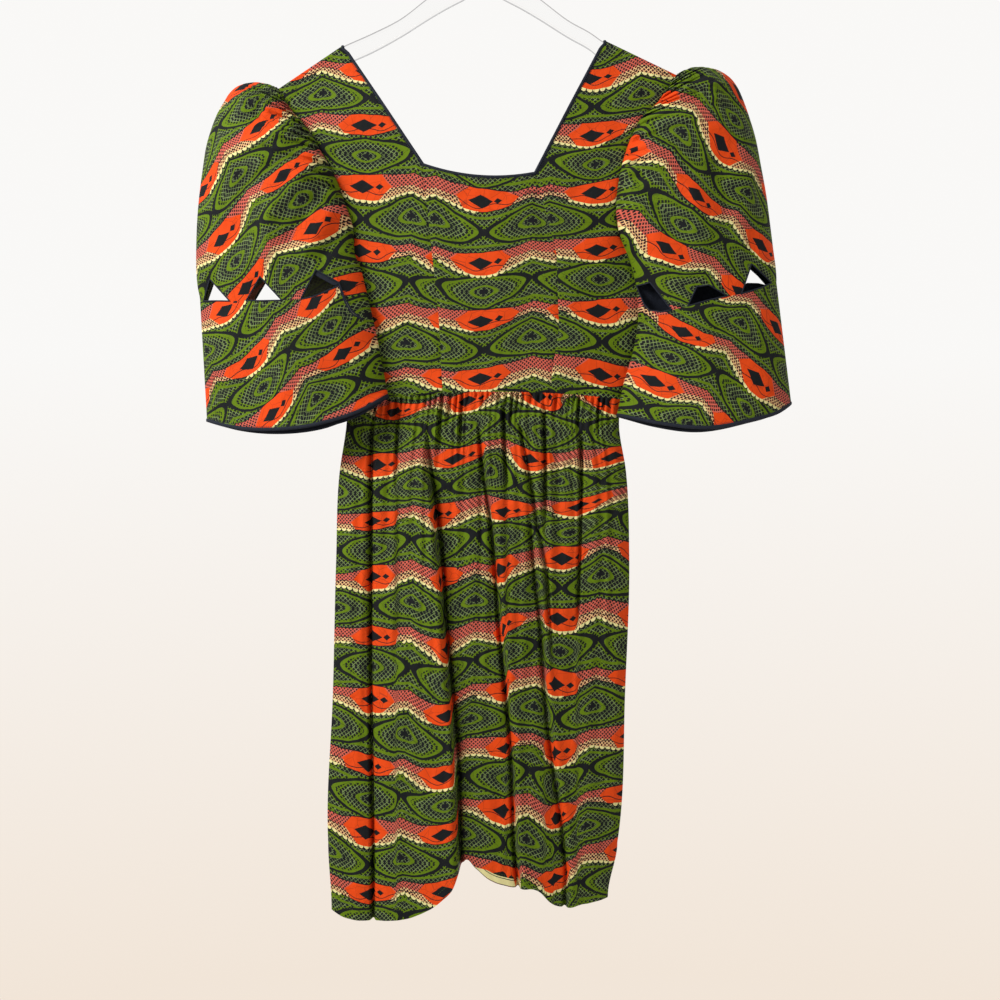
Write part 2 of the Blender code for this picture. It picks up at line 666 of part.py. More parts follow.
def make_sleeve(side, label):
    """A puff sleeve in two halves, with the cuff in two halves below its windows."""
    for face in ("front", "back"):
        turned = (face == "back") != (side > 0)
        sheet = sleeve_sheet(side, face)
        points, faces, starts = grid(sheet, turned)
        last = len(sheet[1]) - 1
        folded = ARMHOLE_END + 1 if face == "front" else UNDERARM + 2
        flat = starts[:] + [start + last for start in starts[folded:]]
        wall(f"sleeve_{label}_{face}", points, faces, "print", flat=flat, upright=[0],
             level=range(starts[-1], len(points)))
        sheet = cuff_sheet(side, face)
        points, faces, starts = grid(sheet, turned)
        wall(f"cuff_{label}_{face}", points, faces, "print",
             flat=starts + [start + last for start in starts],
             level=[*range(last + 1), *range(starts[-1], len(points))])


def make_cuff_binding(side, label):
    """The narrow binding round the hem of a cuff."""
    front, back = cuff_sheet(side, "front")[-1], cuff_sheet(side, "back")[-1]
    loop = front + back[-2:0:-1]
    points = [(x, y, z - low) for low in (SEAM, SEAM + BINDING_WIDTH) for x, y, z in loop]
    faces = []
    for k in range(len(loop)):
        m = (k + 1) % len(loop)
        faces.append((k, k + len(loop), m + len(loop), m))
    if side > 0:
        faces = [tuple(reversed(face)) for face in faces]
    wall(f"cuff_binding_{label}", points, faces, "navy", CUFF_BINDING_THICKNESS)


def fold_shift(x, drop, folds):
    """How far the hanging folds push the cloth back (+) or forward (-) at a place."""
    total = 0.0
    for fold in folds:
        ends = smooth(fold.top_drop, fold.top_drop + FOLD_START, drop)
        if fold.end_drop < SKIRT_HEM[FOLD_APEX].drop:
            ends *= 1 - smooth(fold.end_drop - FOLD_START, fold.end_drop, drop)
        heights = (fold.top_drop, fold.mid_drop, fold.end_drop)
        line = np.interp(drop, heights, (fold.top_x, fold.mid_x, fold.end_x))
        t = (x - line) / fold.reach
        if fold.lap == 0:
            total += ends * fold.depth * math.exp(-t * t)
            continue
        t *= fold.lap
        side = math.tanh(t * fold.reach / FOLD_EDGE)
        total += ends * fold.depth * LAP_SHARE * side * math.exp(-abs(t))
    return total


def skirt_sheet(face):
    """Points of the skirt's front or back, gathered at the waist and with its hanging folds."""
    folds = FRONT_FOLDS if face == "front" else BACK_FOLDS
    sign = -1 if face == "front" else 1
    columns = GATHERS * 4
    sheet = []
    for row in SKIRT_ROWS + (None,):
        step = row.step if row else 2
        gather = row.gather if row else HEM_GATHER
        side_drop = waist_drop(-150) + row.below if row else HEM_SIDE_DROP
        left, right = (along(BODY, edge, side_drop) for edge in ("left", "right"))
        points = []
        for k in range(0, columns + 1, step):
            x = -left + (left + right) * k / columns
            if row:
                level = row.below / SKIRT_LENGTH
                drop = waist_drop(x) * (1 - level) + WAIST_DROP * level + row.below + SEAM / 2
            else:
                drop = along(SKIRT_HEM, "drop", x) - (BACK_HEM_RISE if face == "back" else 0)
            y = body_y(x, min(drop, BODY[-1].drop), face)
            edge = min(k, columns - k) / columns
            wave = gather * (0.75 + 0.25 * math.sin(1.3 * k)) * math.sin(math.pi * k / (2 * step))
            y += sign * (wave - fold_shift(x, drop, folds)) * min(1, edge * SIDE_EASE)
            if k in (0, columns):
                y = sign * SEAM_PLANE
            points.append((x, y, -drop))
        sheet.append(points)
    return sheet


def make_skirt():
    for face in ("front", "back"):
        sheet = skirt_sheet(face)
        points, faces, starts = grid(sheet, face == "back")
        sides = starts + [start + len(row) - 1 for start, row in zip(starts, sheet)]
        wall(f"skirt_{face}", points, faces, "print", flat=sides, level=range(len(sheet[0])))


def plate_stations():
    """The hanger's plate from its left end to its right: x, and the drops of its edges."""
    halves = {}
    for side in (-1, 1):
        line = SHOULDERS[side]
        stations = [(side * plate.out, plate.top, plate.bottom) for plate in PLATES[side]]
        start, end = line.neck_out - 4, line.tip_out - PLATE_END_GAP
        for k in range(PLATE_STEPS + 1):
            x = side * (start + (end - start) * k / PLATE_STEPS)
            top = shoulder_drop(x) + PLATE_SEAT
            stations.append((x, top, top + PLATE_DEPTH))
        x, top, bottom = stations[-1]
        stations.append((x + side * 6, top + 10, bottom - 5))
        halves[side] = stations
    return halves[-1][:0:-1] + halves[1]


def make_hanger():
    """The clear plate that carries the shoulders."""
    bm = bmesh.new()
    sections = []
    for x, top, bottom in plate_stations():
        corners = ((-HANGER_HALF, bottom), (HANGER_HALF, bottom), (HANGER_HALF, top + 1.3),
                   (0.8, top), (-0.8, top), (-HANGER_HALF, top + 1.3))
        sections.append([bm.verts.new((x * MM, y * MM, -drop * MM)) for y, drop in corners])
    for near, far in zip(sections, sections[1:]):
        for k in range(6):
            bm.faces.new((near[k], near[(k + 1) % 6], far[(k + 1) % 6], far[k]))
    bm.faces.new(sections[0])
    bm.faces.new(sections[-1])
    bmesh.ops.recalc_face_normals(bm, faces=bm.faces)
    bmesh.ops.triangulate(bm, faces=bm.faces)
    add_object("hanger_plate", bm, "clear")


def make_hook():
    """The hook: a wire that stands on the plate and turns over the rail."""
    reach = HOOK_RADIUS + HOOK_WIRE / 2
    path = [(0, HANGER_TOP - 0.3), (0, 62), (0, 50), (3, 43), (9, 38)]
    for k in range(HOOK_STEPS + 1):
        angle = math.radians(-42 + 250 * k / HOOK_STEPS)
        path.append((reach * math.cos(angle), HOOK_RADIUS - reach * math.sin(angle)))
    curve = bpy.data.curves.new("hanger_hook", "CURVE")
    curve.dimensions = "3D"
    curve.bevel_depth = HOOK_WIRE / 2 * MM
    curve.bevel_resolution = 2
    curve.use_fill_caps = True
    spline = curve.splines.new("POLY")
    spline.points.add(len(path) - 1)
    for point, (x, drop) in zip(spline.points, path):
        point.co = (x * MM, 0, -drop * MM, 1)
    curve.materials.append(cloth_material("steel"))
    hook = bpy.data.objects.new("hanger_hook", curve)
    bpy.context.scene.collection.objects.link(hook)


def main():
    for old in list(bpy.data.objects):
        bpy.data.objects.remove(old, do_unlink=True)
    make_bodice()
    make_bodice_back()
    for face in ("front", "back"):
        make_neck_binding(face)
    for side, label in ((-1, "left"), (1, "right")):
        make_sleeve(side, label)
        make_cuff_binding(side, label)
    make_skirt()
    make_hanger()
    make_hook()


main()
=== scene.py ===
import math
from collections import namedtuple

import bmesh
import bpy
import numpy as np
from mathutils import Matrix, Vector


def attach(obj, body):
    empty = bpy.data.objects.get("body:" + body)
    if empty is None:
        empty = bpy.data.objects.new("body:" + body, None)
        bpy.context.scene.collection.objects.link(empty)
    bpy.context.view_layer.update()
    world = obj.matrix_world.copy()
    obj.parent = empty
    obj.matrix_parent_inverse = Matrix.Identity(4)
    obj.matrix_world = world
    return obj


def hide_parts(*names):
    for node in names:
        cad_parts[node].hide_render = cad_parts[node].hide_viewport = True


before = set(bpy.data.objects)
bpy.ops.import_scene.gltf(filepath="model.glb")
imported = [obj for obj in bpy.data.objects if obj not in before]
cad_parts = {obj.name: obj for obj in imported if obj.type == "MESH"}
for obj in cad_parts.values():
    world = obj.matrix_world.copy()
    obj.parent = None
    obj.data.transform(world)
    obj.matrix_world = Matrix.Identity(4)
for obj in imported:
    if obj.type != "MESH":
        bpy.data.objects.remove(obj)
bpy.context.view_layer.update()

# Camera
# The dress is looked at from straight in front, a little below its middle, from an arm's
# length more than its own height away. The picture ends below the hanger's hook.
camera_data = bpy.data.cameras.new("camera")
camera_data.lens = 50
camera_data.sensor_width = 36
camera = bpy.data.objects.new("camera", camera_data)
camera.location = (0.0187, -1.625, -0.695)
camera.rotation_euler = (math.radians(90), 0, 0)
bpy.context.scene.collection.objects.link(camera)
bpy.context.scene.camera = camera

# Bodice
# Three princess-seamed pieces in front and one plain piece behind, of the printed cotton.
# They are sewn at the shoulders, which carry the dress on the hanger, and down the sides.

# All the cloth hangs from two shoulder seams on the hanger. Drops are millimetres below the
# hook, out is millimetres from the centre line, and side -1 is the left of the picture.
MM = 0.001
SHOULDER_HALF = 4.3
SEAM_PLANE = 0.15               # a seam at the side lies this far from the middle plane,
LEAST_DEPTH = 0.05              # and no cloth lies nearer to it than this
WAIST_DROP = 569.5
WAIST_SAG = 9.0
LENS_POWER = 0.85               # how blunt the dress is seen from above, at its sides
DRAPE_DROP = 120                # the cloth takes this drop to come off the hanger's slope


def named_rows(kind, *values):
    """A table with named columns."""
    return tuple(kind(*row) for row in values)


Body = namedtuple("Body", "drop left right front back")
BODY = named_rows(Body,
    (150, 640, 620, 12, 9), (214, 560, 545, 14, 10), (300, 330, 325, 16, 11),
    (360, 222, 222, 19, 13), (406, 187, 191, 20, 14), (440, 185, 190, 20, 14),
    (490, 180, 187, 19, 14), (565, 161, 163, 16, 12), (580, 159, 160, 16, 12),
    (607, 161, 158, 20, 14), (662, 169, 166, 24, 16), (765, 173, 170, 26, 17),
    (929, 177, 165, 27, 17), (1081, 183, 159, 28, 17), (1178, 178, 144, 28, 17))
Shoulder = namedtuple("Shoulder", "neck_out neck_drop tip_out tip_drop")
SHOULDERS = {-1: Shoulder(166, 164, 240, 214), 1: Shoulder(142, 158, 225, 198)}


def curve_through(keys, values, at):
    """A smooth curve through a table's values, for one place or for an array of places."""
    keys, values = np.asarray(keys, float), np.asarray(values, float)
    slopes = np.gradient(values, keys)
    at = np.asarray(at, float)
    i = np.clip(np.searchsorted(keys, at) - 1, 0, len(keys) - 2)
    step = keys[i + 1] - keys[i]
    s = np.clip((at - keys[i]) / step, 0.0, 1.0)
    low = values[i] * (1 + 2 * s) * (1 - s) ** 2 + slopes[i] * step * s * (1 - s) ** 2
    high = values[i + 1] * s * s * (3 - 2 * s) + slopes[i + 1] * step * s * s * (s - 1)
    return low + high


def along(table, column, at):
    return curve_through([row[0] for row in table], [getattr(row, column) for row in table], at)


def fade(start, end, at):
    """Rises softly from 0 at the start to 1 at the end."""
    s = np.clip((np.asarray(at, float) - start) / (end - start), 0.0, 1.0)
    return s * s * (3 - 2 * s)


def side_edge(x, drop):
    return np.where(np.asarray(x) < 0, along(BODY, "left", drop), along(BODY, "right", drop))


def waist_drop(x):
    return WAIST_DROP + WAIST_SAG * ((np.asarray(x, float) - 10) / 160) ** 2


def shoulder_drop(x):
    x = np.asarray(x, float)
    lines = []
    for side in (-1, 1):
        line = SHOULDERS[side]
        slope = (line.tip_drop - line.neck_drop) / (line.tip_out - line.neck_out)
        lines.append(line.neck_drop + (np.abs(x) - line.neck_out) * slope)
    return np.where(x < 0, lines[0], lines[1])


def body_y(x, drop, face):
    """Where the front or back of the bodice and skirt hangs, before its own creases."""
    x, drop = np.asarray(x, float), np.asarray(drop, float)
    lens = np.maximum(1 - (x / side_edge(x, drop)) ** 2, 0.0) ** LENS_POWER
    below = drop - shoulder_drop(x)
    over_plate = (SHOULDER_HALF - SEAM_PLANE) * (1 - np.exp(-np.maximum(below, 0) / 0.8))
    full = (along(BODY, face, drop) - SHOULDER_HALF) * fade(0, DRAPE_DROP, below)
    blunt = 1.6 + 4.0 * fade(WAIST_DROP - 10, WAIST_DROP + 20, drop)
    depth = SEAM_PLANE + over_plate * np.minimum(blunt * lens, 1.0) + full * lens
    return depth * (-1 if face == "front" else 1)


Crease = namedtuple("Crease", "x drop to_x to_drop width height")


def creased(x, drop, creases):
    """How far soft creases stand out (+) or sink in (-). Each runs from one place to another
    and dies away at both ends; its width is to each side and its height in millimetres."""
    total = np.zeros(np.broadcast(x, drop).shape)
    for c in creases:
        run_x, run_drop = c.to_x - c.x, c.to_drop - c.drop
        length = math.hypot(run_x, run_drop)
        t = ((x - c.x) * run_x + (drop - c.drop) * run_drop) / length ** 2
        off = ((x - c.x) * run_drop - (drop - c.drop) * run_x) / length
        ends = fade(0.0, 0.25, t) * fade(0.0, 0.25, 1 - t)
        total += c.height * ends * np.exp(-(off / c.width) ** 2)
    return total


Inner = namedtuple("Inner", "drop out")
INNER_EDGES = {
    -1: named_rows(Inner, (164, 166), (307, 71), (429, 58), (496, 51), (572, 48)),
    1: named_rows(Inner, (158, 142), (317, 60), (408, 84), (496, 87), (572, 75)),
}
Armhole = namedtuple("Armhole", "front_out front_drop back_out back_drop")
ARMHOLES = {
    -1: named_rows(Armhole,
        (236, 222, 237, 222), (230, 232, 231, 234), (223, 242, 224, 246), (215, 251, 217, 259),
        (207, 260, 210, 273), (197, 276, 203, 290), (188, 292, 197, 307), (179, 308, 192, 324),
        (169, 328, 188, 342), (160, 354, 185, 362), (152, 378, 184, 377), (151, 398, 185, 392)),
    1: named_rows(Armhole,
        (221, 205, 222, 206), (216, 212, 218, 217), (210, 220, 214, 228), (203, 231, 209, 241),
        (194, 240, 205, 255), (184, 249, 201, 270), (176, 263, 197, 287), (168, 281, 194, 304),
        (161, 303, 191, 322), (156, 327, 189, 342), (153.5, 352, 188, 364), (155, 375, 189, 387)),
}
ARMPITS = {-1: (158, 402), 1: (163, 397)}
UNDERARM_DROP = 406
ROLL_DROPS = (0.0, 1.3, 4.5)
CORNER = 8                      # the neckline's corners are level with this armhole point
NECK_SAG = 9.0
BODICE_PRINT_SHIFT = 23.0
LAST_DROP = 580                 # a little below the waist seam, where the rows end
BODICE_FINE, SIDE_FINE, CENTRE_FINE = 6, 44, 48

BODICE_CREASES = {"front": named_rows(Crease,
    (-225, 235, -150, 300, 9, 1.4), (-212, 262, -120, 330, 11, -1.3),
    (-185, 305, -90, 350, 10, 1.2), (-168, 350, -80, 395, 12, -1.5),
    (-150, 400, -60, 430, 9, 1.3), (-176, 440, -70, 470, 12, 1.6),
    (-178, 480, -95, 500, 9, -1.4), (-168, 520, -70, 540, 10, 1.2),
    (-45, 330, -20, 470, 12, -1.2), (-30, 360, 40, 372, 10, 1.0), (10, 340, 25, 500, 14, 1.3),
    (-20, 500, 60, 520, 9, -1.1), (60, 330, 72, 400, 6, -1.8), (95, 300, 160, 270, 10, 1.4),
    (90, 345, 152, 320, 9, -1.5), (84, 420, 160, 390, 12, 1.5), (95, 470, 180, 440, 11, -1.6),
    (90, 515, 176, 500, 10, 1.3), (95, 545, 170, 552, 7, -1.0), (-195, 215, -165, 245, 8, -1.2),
    (190, 205, 150, 250, 8, 1.2), (205, 225, 150, 235, 6, -1.0)), "back": named_rows(Crease,
    (-200, 250, -110, 330, 12, 1.4), (-180, 330, -70, 400, 13, -1.6),
    (-175, 430, -60, 480, 12, 1.5), (-160, 500, -60, 530, 10, -1.3),
    (-20, 340, -10, 480, 15, -1.4), (30, 360, 20, 520, 13, 1.2), (60, 380, 165, 330, 12, 1.4),
    (70, 450, 180, 410, 12, -1.6), (80, 520, 170, 480, 11, 1.3), (190, 230, 120, 300, 11, -1.2))}


def bodice_edges(side, face):
    """Outer and inner ends of the bodice's rows, from the shoulder to the waist."""
    shoulder, holes = SHOULDERS[side], ARMHOLES[side]
    edge = [(getattr(h, face + "_out"), getattr(h, face + "_drop")) for h in holes]
    lean = (edge[0][0] - shoulder.tip_out) / (edge[0][1] - shoulder.tip_drop)
    outer = [(shoulder.tip_out + lean * roll, shoulder.tip_drop) for roll in ROLL_DROPS]
    top = UNDERARM_DROP
    column = "left" if side < 0 else "right"
    below = [(float(along(BODY, column, drop)), drop)
             for drop in (top, top + 14, top + 28, 455, 495, 540, LAST_DROP)]
    outer += edge + ([ARMPITS[side]] + below[:2] if face == "front" else below[:3]) + below[3:]
    heights = [shoulder.tip_drop, holes[CORNER].front_drop, LAST_DROP]
    inner_heights = [shoulder.neck_drop, INNER_EDGES[side][1].drop, 572]
    inner = []
    for number, (_, drop) in enumerate(outer):
        if number > CORNER + len(ROLL_DROPS):
            drop = max(drop, holes[CORNER].front_drop + (number - CORNER - len(ROLL_DROPS)) * 17.0)
        at = float(np.interp(min(drop, LAST_DROP), heights, inner_heights))
        line = INNER_EDGES[side]
        out = float(np.interp(at, [p.drop for p in line], [p.out for p in line]))
        inner.append((out, at))
    return np.array(outer, float), np.array(inner, float)


def finer(rows, fine, start=0):
    """More rows between rows, on smooth curves, and straight before the start."""
    keys = np.arange(len(rows))
    at = np.linspace(0, len(rows) - 1, (len(rows) - 1) * fine + 1)
    bent = np.stack([curve_through(keys[start:], column[start:], at) for column in rows.T], 1)
    plain = np.stack([np.interp(at, keys, column) for column in rows.T], 1)
    bent[at <= start] = plain[at <= start]
    return bent, plain


def bodice_part(side, face, columns):
    """Places of one side of the bodice: x and drop, from the armhole to its inner edge."""
    outer, inner = bodice_edges(side, face)
    u = np.linspace(0, 1, columns + 1)
    out = outer[:, :1] + (inner[:, :1] - outer[:, :1]) * u
    drop = outer[:, 1:] + (inner[:, 1:] - outer[:, 1:]) * u
    drop[:3] += np.array(ROLL_DROPS)[:, None]
    drop[-1] = waist_drop(side * out[-1])
    result = []
    for values in (side * out, drop):
        bent, plain = finer(values, BODICE_FINE, 2)
        result.append(bent * (1 - u) + plain * u)
    return result


def bodice_layout(face):
    """The whole front or back as three runs of columns that share their seams."""
    parts = {side: bodice_part(side, face, SIDE_FINE) for side in (-1, 1)}
    left_x, left_drop = parts[-1]
    right_x, right_drop = (values[:, ::-1] for values in parts[1])
    u = np.linspace(0, 1, CENTRE_FINE + 1)
    x = left_x[:, -1:] + (right_x[:, :1] - left_x[:, -1:]) * u
    drop = left_drop[:, -1:] + (right_drop[:, :1] - left_drop[:, -1:]) * u
    top = (CORNER + len(ROLL_DROPS)) * BODICE_FINE
    dip = np.clip(1 - (np.arange(len(x)) - top) / BODICE_FINE, 0, 1)
    drop += dip[:, None] * NECK_SAG * 4 * u * (1 - u)
    end = np.clip((np.arange(len(x)) - (len(x) - 1)) / BODICE_FINE + 1, 0, 1)
    drop += end[:, None] * (waist_drop(x) - drop)
    return (left_x, left_drop), (x, drop), (right_x, right_drop), top


def seam_sink(distance, drop, depth=0.9, pucker=0.45):
    """The cloth sinks into a seam, and puckers a little beside it."""
    ripple = np.sin(drop * 0.52) + 0.6 * np.sin(drop * 0.83 + 1.1)
    return depth * np.exp(-distance / 1.6) + pucker * ripple * np.exp(-distance / 9.0)


# The printed cotton
# Wax print cotton, dyed through, so that its back is only a little paler. The design is a
# plain one of its kind: scalloped orange bands with lozenges and a cream fringe, and leaf
# medallions on a diamond net. It is laid out on the flat cloth, whose map is in metres.
CLOTH_MAP = "flat_cloth"
BAND_PITCH = 71.0
SCALLOP = 112.0
OLIVE = (0.112, 0.188, 0.003)
NET_GREEN = (0.175, 0.245, 0.080)
BLACK = (0.007, 0.008, 0.009)
ORANGE = (0.730, 0.062, 0.004)
PINK = (0.560, 0.130, 0.095)
CREAM = (0.760, 0.700, 0.300)
LEAF_HALF_LENGTH, LEAF_HALF_WIDTH = 49.0, 19.5
NET_PITCH, CUSP_PITCH, BEAD_PITCH = 5.8, 4.6, 7.2
LOZENGES = ((-4.0, 15.0, 7.5), (17.0, 5.0, 3.4))    # middle, half length and half height


class Number:
    """A number that the nodes of one material work out for each place on a piece."""

    def __init__(self, tree, socket):
        self.tree = tree
        self.socket = socket

    def reckon(self, operation, *others):
        node = self.tree.nodes.new("ShaderNodeMath")
        node.operation = operation
        for socket, value in zip(node.inputs, (self, *others)):
            fill(self.tree, socket, value)
        return Number(self.tree, node.outputs[0])

    def __add__(self, other):
        return self.reckon("ADD", other)

    def __sub__(self, other):
        return self.reckon("SUBTRACT", other)

    def __mul__(self, other):
        return self.reckon("MULTIPLY", other)

    def __abs__(self):
        return self.reckon("ABSOLUTE")

    def __lt__(self, limit):
        return self.reckon("LESS_THAN", limit)

    def __gt__(self, limit):
        return self.reckon("GREATER_THAN", limit)

    def between(self, low, high):
        return (self > low) * (self < high)

    def repeat(self, pitch):
        """Distance from the middle of the repeat that a place lies in."""
        return ((self * (1 / pitch) + 0.5).reckon("FRACT") - 0.5) * pitch

    def wave(self, length):
        return (self * (2 * math.pi / length)).reckon("SINE")


def fill(tree, socket, value):
    """Gives a node's input a number, a colour, or what another node works out."""
    if isinstance(value, Number):
        value = value.socket
    if isinstance(value, bpy.types.NodeSocket):
        tree.links.new(value, socket)
    else:
        socket.default_value = (*value, 1.0) if isinstance(value, tuple) else value


class Finish:
    """One material, whose look is worked out step by step in its nodes."""

    def __init__(self, name, on_cloth=True, **settings):
        self.material = bpy.data.materials.new(name)
        self.material.use_nodes = True
        self.tree = self.material.node_tree
        self.shader = self.tree.nodes["Principled BSDF"]
        self.set(**settings)
        if on_cloth:
            flat = self.tree.nodes.new("ShaderNodeUVMap")
            flat.uv_map = CLOTH_MAP
            self.where = flat.outputs["UV"]
            parts = self.tree.nodes.new("ShaderNodeSeparateXYZ")
            fill(self.tree, parts.inputs[0], self.where)
            self.x, self.y = (Number(self.tree, parts.outputs[axis]) for axis in "XY")
        else:
            self.where = self.tree.nodes.new("ShaderNodeTexCoord").outputs["Object"]

    def set(self, **settings):
        """Fills the shader's inputs, named with _ for each space."""
        for name, value in settings.items():
            fill(self.tree, self.shader.inputs[name.replace("_", " ")], value)

    def dye(self, under, over, mask):
        node = self.tree.nodes.new("ShaderNodeMix")
        node.data_type = "RGBA"
        for socket, value in zip(("Factor", "A", "B"), (mask, under, over)):
            fill(self.tree, node.inputs[socket], value)
        return node.outputs["Result"]

    def noise(self, scale, detail=2.0):
        node = self.tree.nodes.new("ShaderNodeTexNoise")
        fill(self.tree, node.inputs["Vector"], self.where)
        node.inputs["Scale"].default_value = scale
        node.inputs["Detail"].default_value = detail
        return Number(self.tree, node.outputs["Fac"])

    def bump(self, height, distance, strength, onto=None):
        node = self.tree.nodes.new("ShaderNodeBump")
        fill(self.tree, node.inputs["Height"], height)
        fill(self.tree, node.inputs["Distance"], distance)
        fill(self.tree, node.inputs["Strength"], strength)
        if onto is not None:
            fill(self.tree, node.inputs["Normal"], onto)
        return node.outputs["Normal"]


def wax_print(name, paling):
    """The print's material, on a flat cloth measured in millimetres."""
    d = Finish(name, Specular_IOR_Level=0.11)
    u = d.x * 1000.0 + (d.noise(22.0) * 9.0 - 4.5)
    v = d.y * 1000.0 + (d.noise(26.0) * 7.0 - 3.5)

    # Place within a scallop, and height above or below the nearest band
    x = u.repeat(SCALLOP)
    round_x = (x * (math.pi / SCALLOP)).reckon("COSINE")
    slow = (u * (2 * math.pi / 310.0) + v * (2 * math.pi / 540.0)).reckon("SINE") * 7.0
    level = v - round_x * 12.0 + slow
    f = level.repeat(BAND_PITCH)
    off = abs(f)
    swell = (u * (2 * math.pi / 260.0) + level * 0.045).reckon("SINE")
    half = round_x * round_x * 5.0 + 8.2 + swell * 2.5

    # A net of diamonds that open from small dots to a dense dark mesh, and back
    lane = (level * (1 / BAND_PITCH)).reckon("FLOOR")
    half_step = lane.reckon("PINGPONG", 1.0) * (SCALLOP / 2)
    leaf_x = abs((u + half_step).repeat(SCALLOP)) * (1 / LEAF_HALF_LENGTH)
    leaf_y = abs((level + BAND_PITCH / 2).repeat(BAND_PITCH)) * (1 / LEAF_HALF_WIDTH)
    leaf = leaf_x.reckon("POWER", 1.35) + leaf_y.reckon("POWER", 1.7)
    p, q = ((u + f * slant).repeat(NET_PITCH) for slant in (1.1, -1.1))
    opened = (leaf * 4.0 + 0.6).reckon("SINE") * 0.48 + 2.16
    thread = d.dye(OLIVE, NET_GREEN, opened > 2.10)
    colour = d.dye(thread, BLACK, abs(p).reckon("MAXIMUM", abs(q)) < opened)

    # Plain leaf medallions with thick black outlines, and a black seed in each
    colour = d.dye(colour, OLIVE, leaf.between(0.85, 1.0))
    colour = d.dye(colour, BLACK, leaf.between(1.0, 1.22))
    colour = d.dye(colour, OLIVE, leaf.between(0.14, 0.24))
    colour = d.dye(colour, BLACK, leaf < 0.045)
    vein = off - half - 7.5
    colour = d.dye(colour, OLIVE, vein.between(-1.2, 1.8) * (leaf > 1.22))

    # Orange band with its net at the cusps, lozenges, thin lines, rims and cream fringe
    cusp = abs(x) + off * 1.1 + swell * 5.0 > 36.0
    red = d.dye(ORANGE, PINK, cusp * 0.8)
    p, q = ((u + f * slant).repeat(CUSP_PITCH) for slant in (1.0, -1.0))
    mesh = abs(p).reckon("MAXIMUM", abs(q))
    red = d.dye(red, BLACK, cusp * (mesh < 1.45))
    red = d.dye(red, CREAM, cusp * ((mesh > 1.85) * (f > 1.5)) * 0.8)
    strand = (u * 0.15).reckon("SINE") * 2.4 - half * 0.45
    red = d.dye(red, BLACK, abs(f + strand) < 0.45)
    for centre, long, high in LOZENGES:
        red = d.dye(red, BLACK, abs(x - centre) * (1 / long) + off * (1 / high) < 1.0)
    colour = d.dye(colour, red, off < half)
    colour = d.dye(colour, BLACK, (off - half).between(0.0, 1.1))
    bead, below = u.repeat(BEAD_PITCH), f - half + 0.4
    reach = bead * bead + below * below
    lower = (below > 0.0) * (swell > -0.55)
    colour = d.dye(colour, BLACK, lower * (reach < 17.0))
    colour = d.dye(colour, CREAM, lower * (reach < 10.5))

    # Dye that took unevenly, fine cracks of the wax, and a paler reverse
    patchy = (d.noise(14.0, 4.0) * 0.5).reckon("SMOOTH_MIN", 0.32, 0.1)
    colour = d.dye(colour, BLACK, patchy * 0.45)
    cracks = d.tree.nodes.new("ShaderNodeTexVoronoi")
    cracks.feature = "DISTANCE_TO_EDGE"
    cracks.inputs["Scale"].default_value = 60.0
    fill(d.tree, cracks.inputs["Vector"], d.where)
    colour = d.dye(colour, BLACK, (Number(d.tree, cracks.outputs["Distance"]) < 0.012) * 0.35)
    if paling:
        colour = d.dye(colour, (0.45, 0.45, 0.33), paling)

    # Threads of the weave, over the soft crumple that worn cotton keeps
    across, down = (way.wave(thread) for way, thread in ((d.x, 0.00045), (d.y, 0.00050)))
    crumple = d.bump(d.noise(30.0, 3.0), 0.0055, 0.8)
    d.set(Base_Color=colour, Normal=d.bump(across * down, 0.00006, 0.5, crumple),
          Roughness=d.noise(90.0) * 0.2 + 0.62)
    return d.material


PRINT_FACE = wax_print("wax print cotton", 0.0)
PRINT_REVERSE = wax_print("wax print cotton reverse", 0.35)


def made(name, mesh, slot, replaced=None, crease_angle=None):
    """Puts a finished mesh on the dress, smooth up to the crease angle."""
    mesh.shade_smooth()
    if crease_angle:
        mesh.set_sharp_from_angle(angle=math.radians(crease_angle))
    piece = bpy.data.objects.new(name, mesh)
    bpy.context.scene.collection.objects.link(piece)
    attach(piece, "root")
    if replaced:
        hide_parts(replaced)
    return piece


